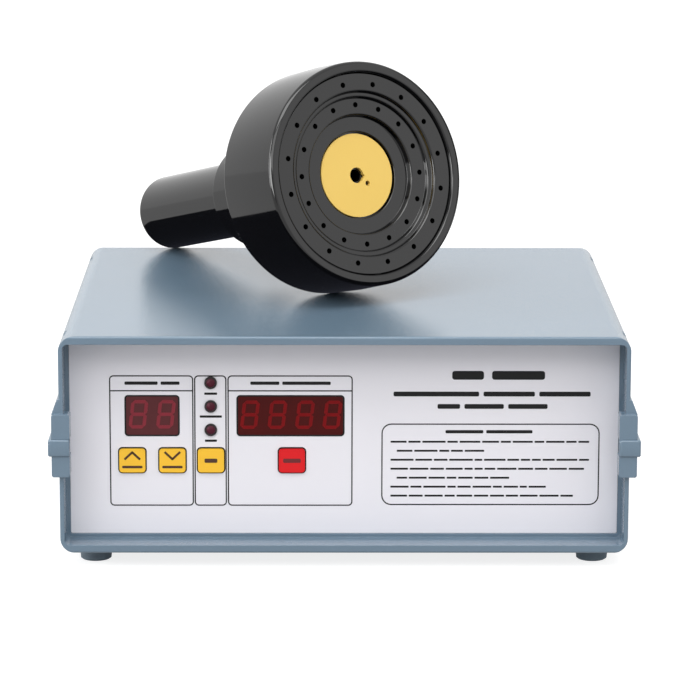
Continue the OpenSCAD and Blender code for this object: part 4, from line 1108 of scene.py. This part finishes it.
@dataclass
class SealingHead(SubAssembly):
    """Sealing head, with a turned cup and a stepped face whose edges are rounded as moulded.

    Both are sections in the plane of radius and axis, spun round the head's axis. A corner is its radius, its
    place along the axis and its rounding.
    """

    centre: tuple[float, float, float] = (11.4, -35.35555, 189.19898)
    tilt_deg: float = 13.50831
    turn_deg: float = 32.8
    steps: int = 160
    round_steps: int = 5
    shell: tuple[tuple[float, float, float], ...] = (
        (53.52, 0.0, 0.0), (54.3, 2.0, 0.8), (59.5, 2.0, 2.2), (60.2, -22.8, 0.0), (59.8, -46.6, 1.9),
        (57.0, -46.7, 0.0), (29.3, -62.6, 1.0), (29.3, -110.5, 1.0), (20.8, -110.5, 0.3), (20.8, -85.5, 0.0),
        (15.7, -85.5, 0.0), (15.7, -49.6, 0.0), (48.0, -41.6, 0.0), (48.0, -20.0, 0.0), (50.5, -20.0, 0.0),
        (50.5, -5.0, 0.0), (53.52, -5.0, 0.0))
    face: tuple[tuple[float, float, float], ...] = (
        (53.4, 0.0, 0.5), (44.0, 0.0, 0.9), (43.2, -2.05, 0.3), (41.2, -2.05, 0.8), (40.4, -4.1, 0.3),
        (31.9, -4.1, 0.9), (31.1, -7.3, 0.35), (23.2, -7.3, 0.6), (23.2, -10.5, 0.0), (3.4, -10.5, 0.0),
        (3.4, -14.5, 0.0), (26.2, -14.5, 0.0), (26.2, -11.5, 0.0), (33.9, -11.5, 0.0), (33.9, -8.3, 0.0),
        (46.0, -8.3, 0.0), (46.0, -5.0, 0.0), (53.4, -5.0, 0.0))
    rings: tuple[HoleRing, ...] = (HoleRing(47.9, 8.5, -9.0, 0.0), HoleRing(37.0, 19.7, -12.0, -4.1))
    holes: int = 16
    hole_r: float = 1.45
    hole_steps: int = 20
    drill_over: float = 1.0

    def finishes(self) -> dict[str, Finish]:
        """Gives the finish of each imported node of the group."""
        return {"head_shell": HEAD_BLACK, "face_plate": HEAD_BLACK, "handle_tube": HEAD_BLACK,
                "handle_plug": HEAD_BLACK, "handle_gland": NYLON, "centre_disc": DISC_YELLOW, "work_coil": WINDING,
                "coil_former": FORMER, "ferrite_bars": FERRITE}

    def axes(self) -> Matrix:
        """Works out how the head lies on the case.

        Returns:
            The matrix from the head's own axes, face towards +Z, to the shared frame.
        """
        tilt, turn = math.radians(self.tilt_deg), math.radians(self.turn_deg)
        across = Vector((math.cos(turn), math.sin(turn), 0.0))
        ahead = Vector((math.sin(turn) * math.cos(tilt), -math.cos(turn) * math.cos(tilt), math.sin(tilt)))
        turned = Matrix((across, ahead.cross(across), ahead)).transposed().to_4x4()
        return Matrix.Translation(at(*self.centre)) @ turned

    def turned(self, section: Sequence[tuple[float, float, float]]) -> bmesh.types.BMesh:
        """Spins a closed section with rounded corners round the head's axis.

        Args:
            section: radius, place along the axis and rounding of each corner.

        Returns:
            The turned solid in the shared frame.
        """
        shape = bmesh.new()
        corners = [shape.verts.new(Vector((radius, 0.0, along)) * MM) for radius, along, _ in section]
        shape.faces.new(corners)
        for corner, (_, _, rounding) in zip(corners, section):
            if rounding > 0:
                cut_corners(shape, [corner], rounding, self.round_steps)
        bmesh.ops.delete(shape, geom=shape.faces[:], context="FACES_ONLY")
        bmesh.ops.spin(shape, geom=shape.verts[:] + shape.edges[:], cent=(0.0, 0.0, 0.0), axis=(0.0, 0.0, 1.0),
                       angle=FULL_TURN, steps=self.steps, use_merge=True)
        bmesh.ops.remove_doubles(shape, verts=shape.verts, dist=WELD_M)
        bmesh.ops.transform(shape, matrix=self.axes(), verts=shape.verts)
        return shape

    def drills(self) -> bpy.types.Object:
        """Makes the tools that drill the two rings of holes.

        Returns:
            An object that is removed after use.
        """
        shape = bmesh.new()
        for ring in self.rings:
            deep = ring.face + self.drill_over - ring.low
            place = Matrix.Translation(Vector((ring.radius, 0.0, ring.low + deep / 2)) * MM)
            for k in range(self.holes):
                turn = Matrix.Rotation(math.radians(ring.start_deg) + k * FULL_TURN / self.holes, 4, "Z")
                bmesh.ops.create_cone(shape, cap_ends=True, segments=self.hole_steps, radius1=self.hole_r * MM,
                                      radius2=self.hole_r * MM, depth=deep * MM, matrix=self.axes() @ turn @ place)
        return to_object("drills", shape)

    def drill(self, piece: bpy.types.Object) -> None:
        """Cuts the two rings of holes.

        Args:
            piece: the turned face.
        """
        tool = self.drills()
        cut = piece.modifiers.new("holes", "BOOLEAN")
        cut.object = tool
        cut.solver = "EXACT"
        ready = bpy.data.meshes.new_from_object(piece.evaluated_get(bpy.context.evaluated_depsgraph_get()))
        piece.modifiers.clear()
        piece.data = ready
        bpy.data.objects.remove(tool)

    def true_faces(self, piece: bpy.types.Object) -> None:
        """Keeps the broad turned faces true, so that they mirror the room without a wave."""
        piece.modifiers.new("true_faces", "WEIGHTED_NORMAL").keep_sharp = True

    def model(self) -> None:
        """Makes the cup and the face in place of their nodes."""
        cup = new_piece("turned_cup", self.turned(self.shell), HEAD_BLACK, CASE_BODY)
        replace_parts(cup, "head_shell")
        self.true_faces(cup)
        face = new_piece("turned_face", self.turned(self.face), HEAD_BLACK, CASE_BODY)
        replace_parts(face, "face_plate")
        self.drill(face)
        self.true_faces(face)


@dataclass
class LockingStrips(SubAssembly):
    """Rounded locking strips over the side seams, with end plates that stand proud of the rails."""

    turn_in: float = 5.6
    plate_t: float = 3.5
    proud: float = 0.9
    edge_r: float = 1.0
    edge_steps: int = 4

    def finishes(self) -> dict[str, Finish]:
        """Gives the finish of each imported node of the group."""
        return {"left_strip": CASE_ABS, "right_strip": CASE_ABS}

    def strip(self, node: str, side: Side) -> None:
        """Makes one strip in place of its node.

        Args:
            node: the strip's node.
            side: the side of the case that it is on.
        """
        low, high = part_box(node)
        outer, inner = (high.x, low.x) if side is Side.RIGHT else (low.x, high.x)
        wall = inner + side.value * self.turn_in * MM
        front, back = low.y - self.proud * MM, high.y + self.proud * MM
        plate = self.plate_t * MM
        outline = ((outer, front), (outer, back), (inner, back), (inner, back - plate), (wall, back - plate),
                   (wall, front + plate), (inner, front + plate), (inner, front))
        shape = bmesh.new()
        shape.faces.new([shape.verts.new((x, y, low.z)) for x, y in outline])
        thicken(shape, (0.0, 0.0, high.z - low.z))
        bmesh.ops.bevel(shape, geom=shape.edges[:], offset=self.edge_r * MM, offset_type="OFFSET",
                        segments=self.edge_steps, profile=0.5, affect="EDGES", material=-1)
        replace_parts(new_piece(node + "_rounded", shape, CASE_ABS, CASE_BODY), node)

    def model(self) -> None:
        """Makes both strips."""
        self.strip("left_strip", Side.LEFT)
        self.strip("right_strip", Side.RIGHT)


def main() -> None:
    """Builds the studio, then dresses and completes each sub-assembly."""
    logging.basicConfig(level=logging.INFO, format="%(name)s: %(message)s")
    Studio().build()
    groups: tuple[SubAssembly, ...] = (
        CaseShells(), FrontPanel(), Keys(),
        DisplayWindow("time_digits", "time_window", "time_display", FILTER_TIME, SEGMENT_TIME, count=2,
                      first_mm=3.3, top_mm=4.1),
        DisplayWindow("output_digits", "output_window", "output_display", FILTER_OUT, SEGMENT_OUT, count=4,
                      first_mm=3.1, top_mm=4.3),
        Indicators(), RearPanel(), Electronics(), SealingHead(), LockingStrips())
    for group in groups:
        group.build()
        log.info("completed %s", type(group).__name__)
    bare = set(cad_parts) - PAINT.dressed
    log.info("nodes without a finish: %s", ", ".join(sorted(bare)) or "none")


if __name__ == "__main__":
    main()
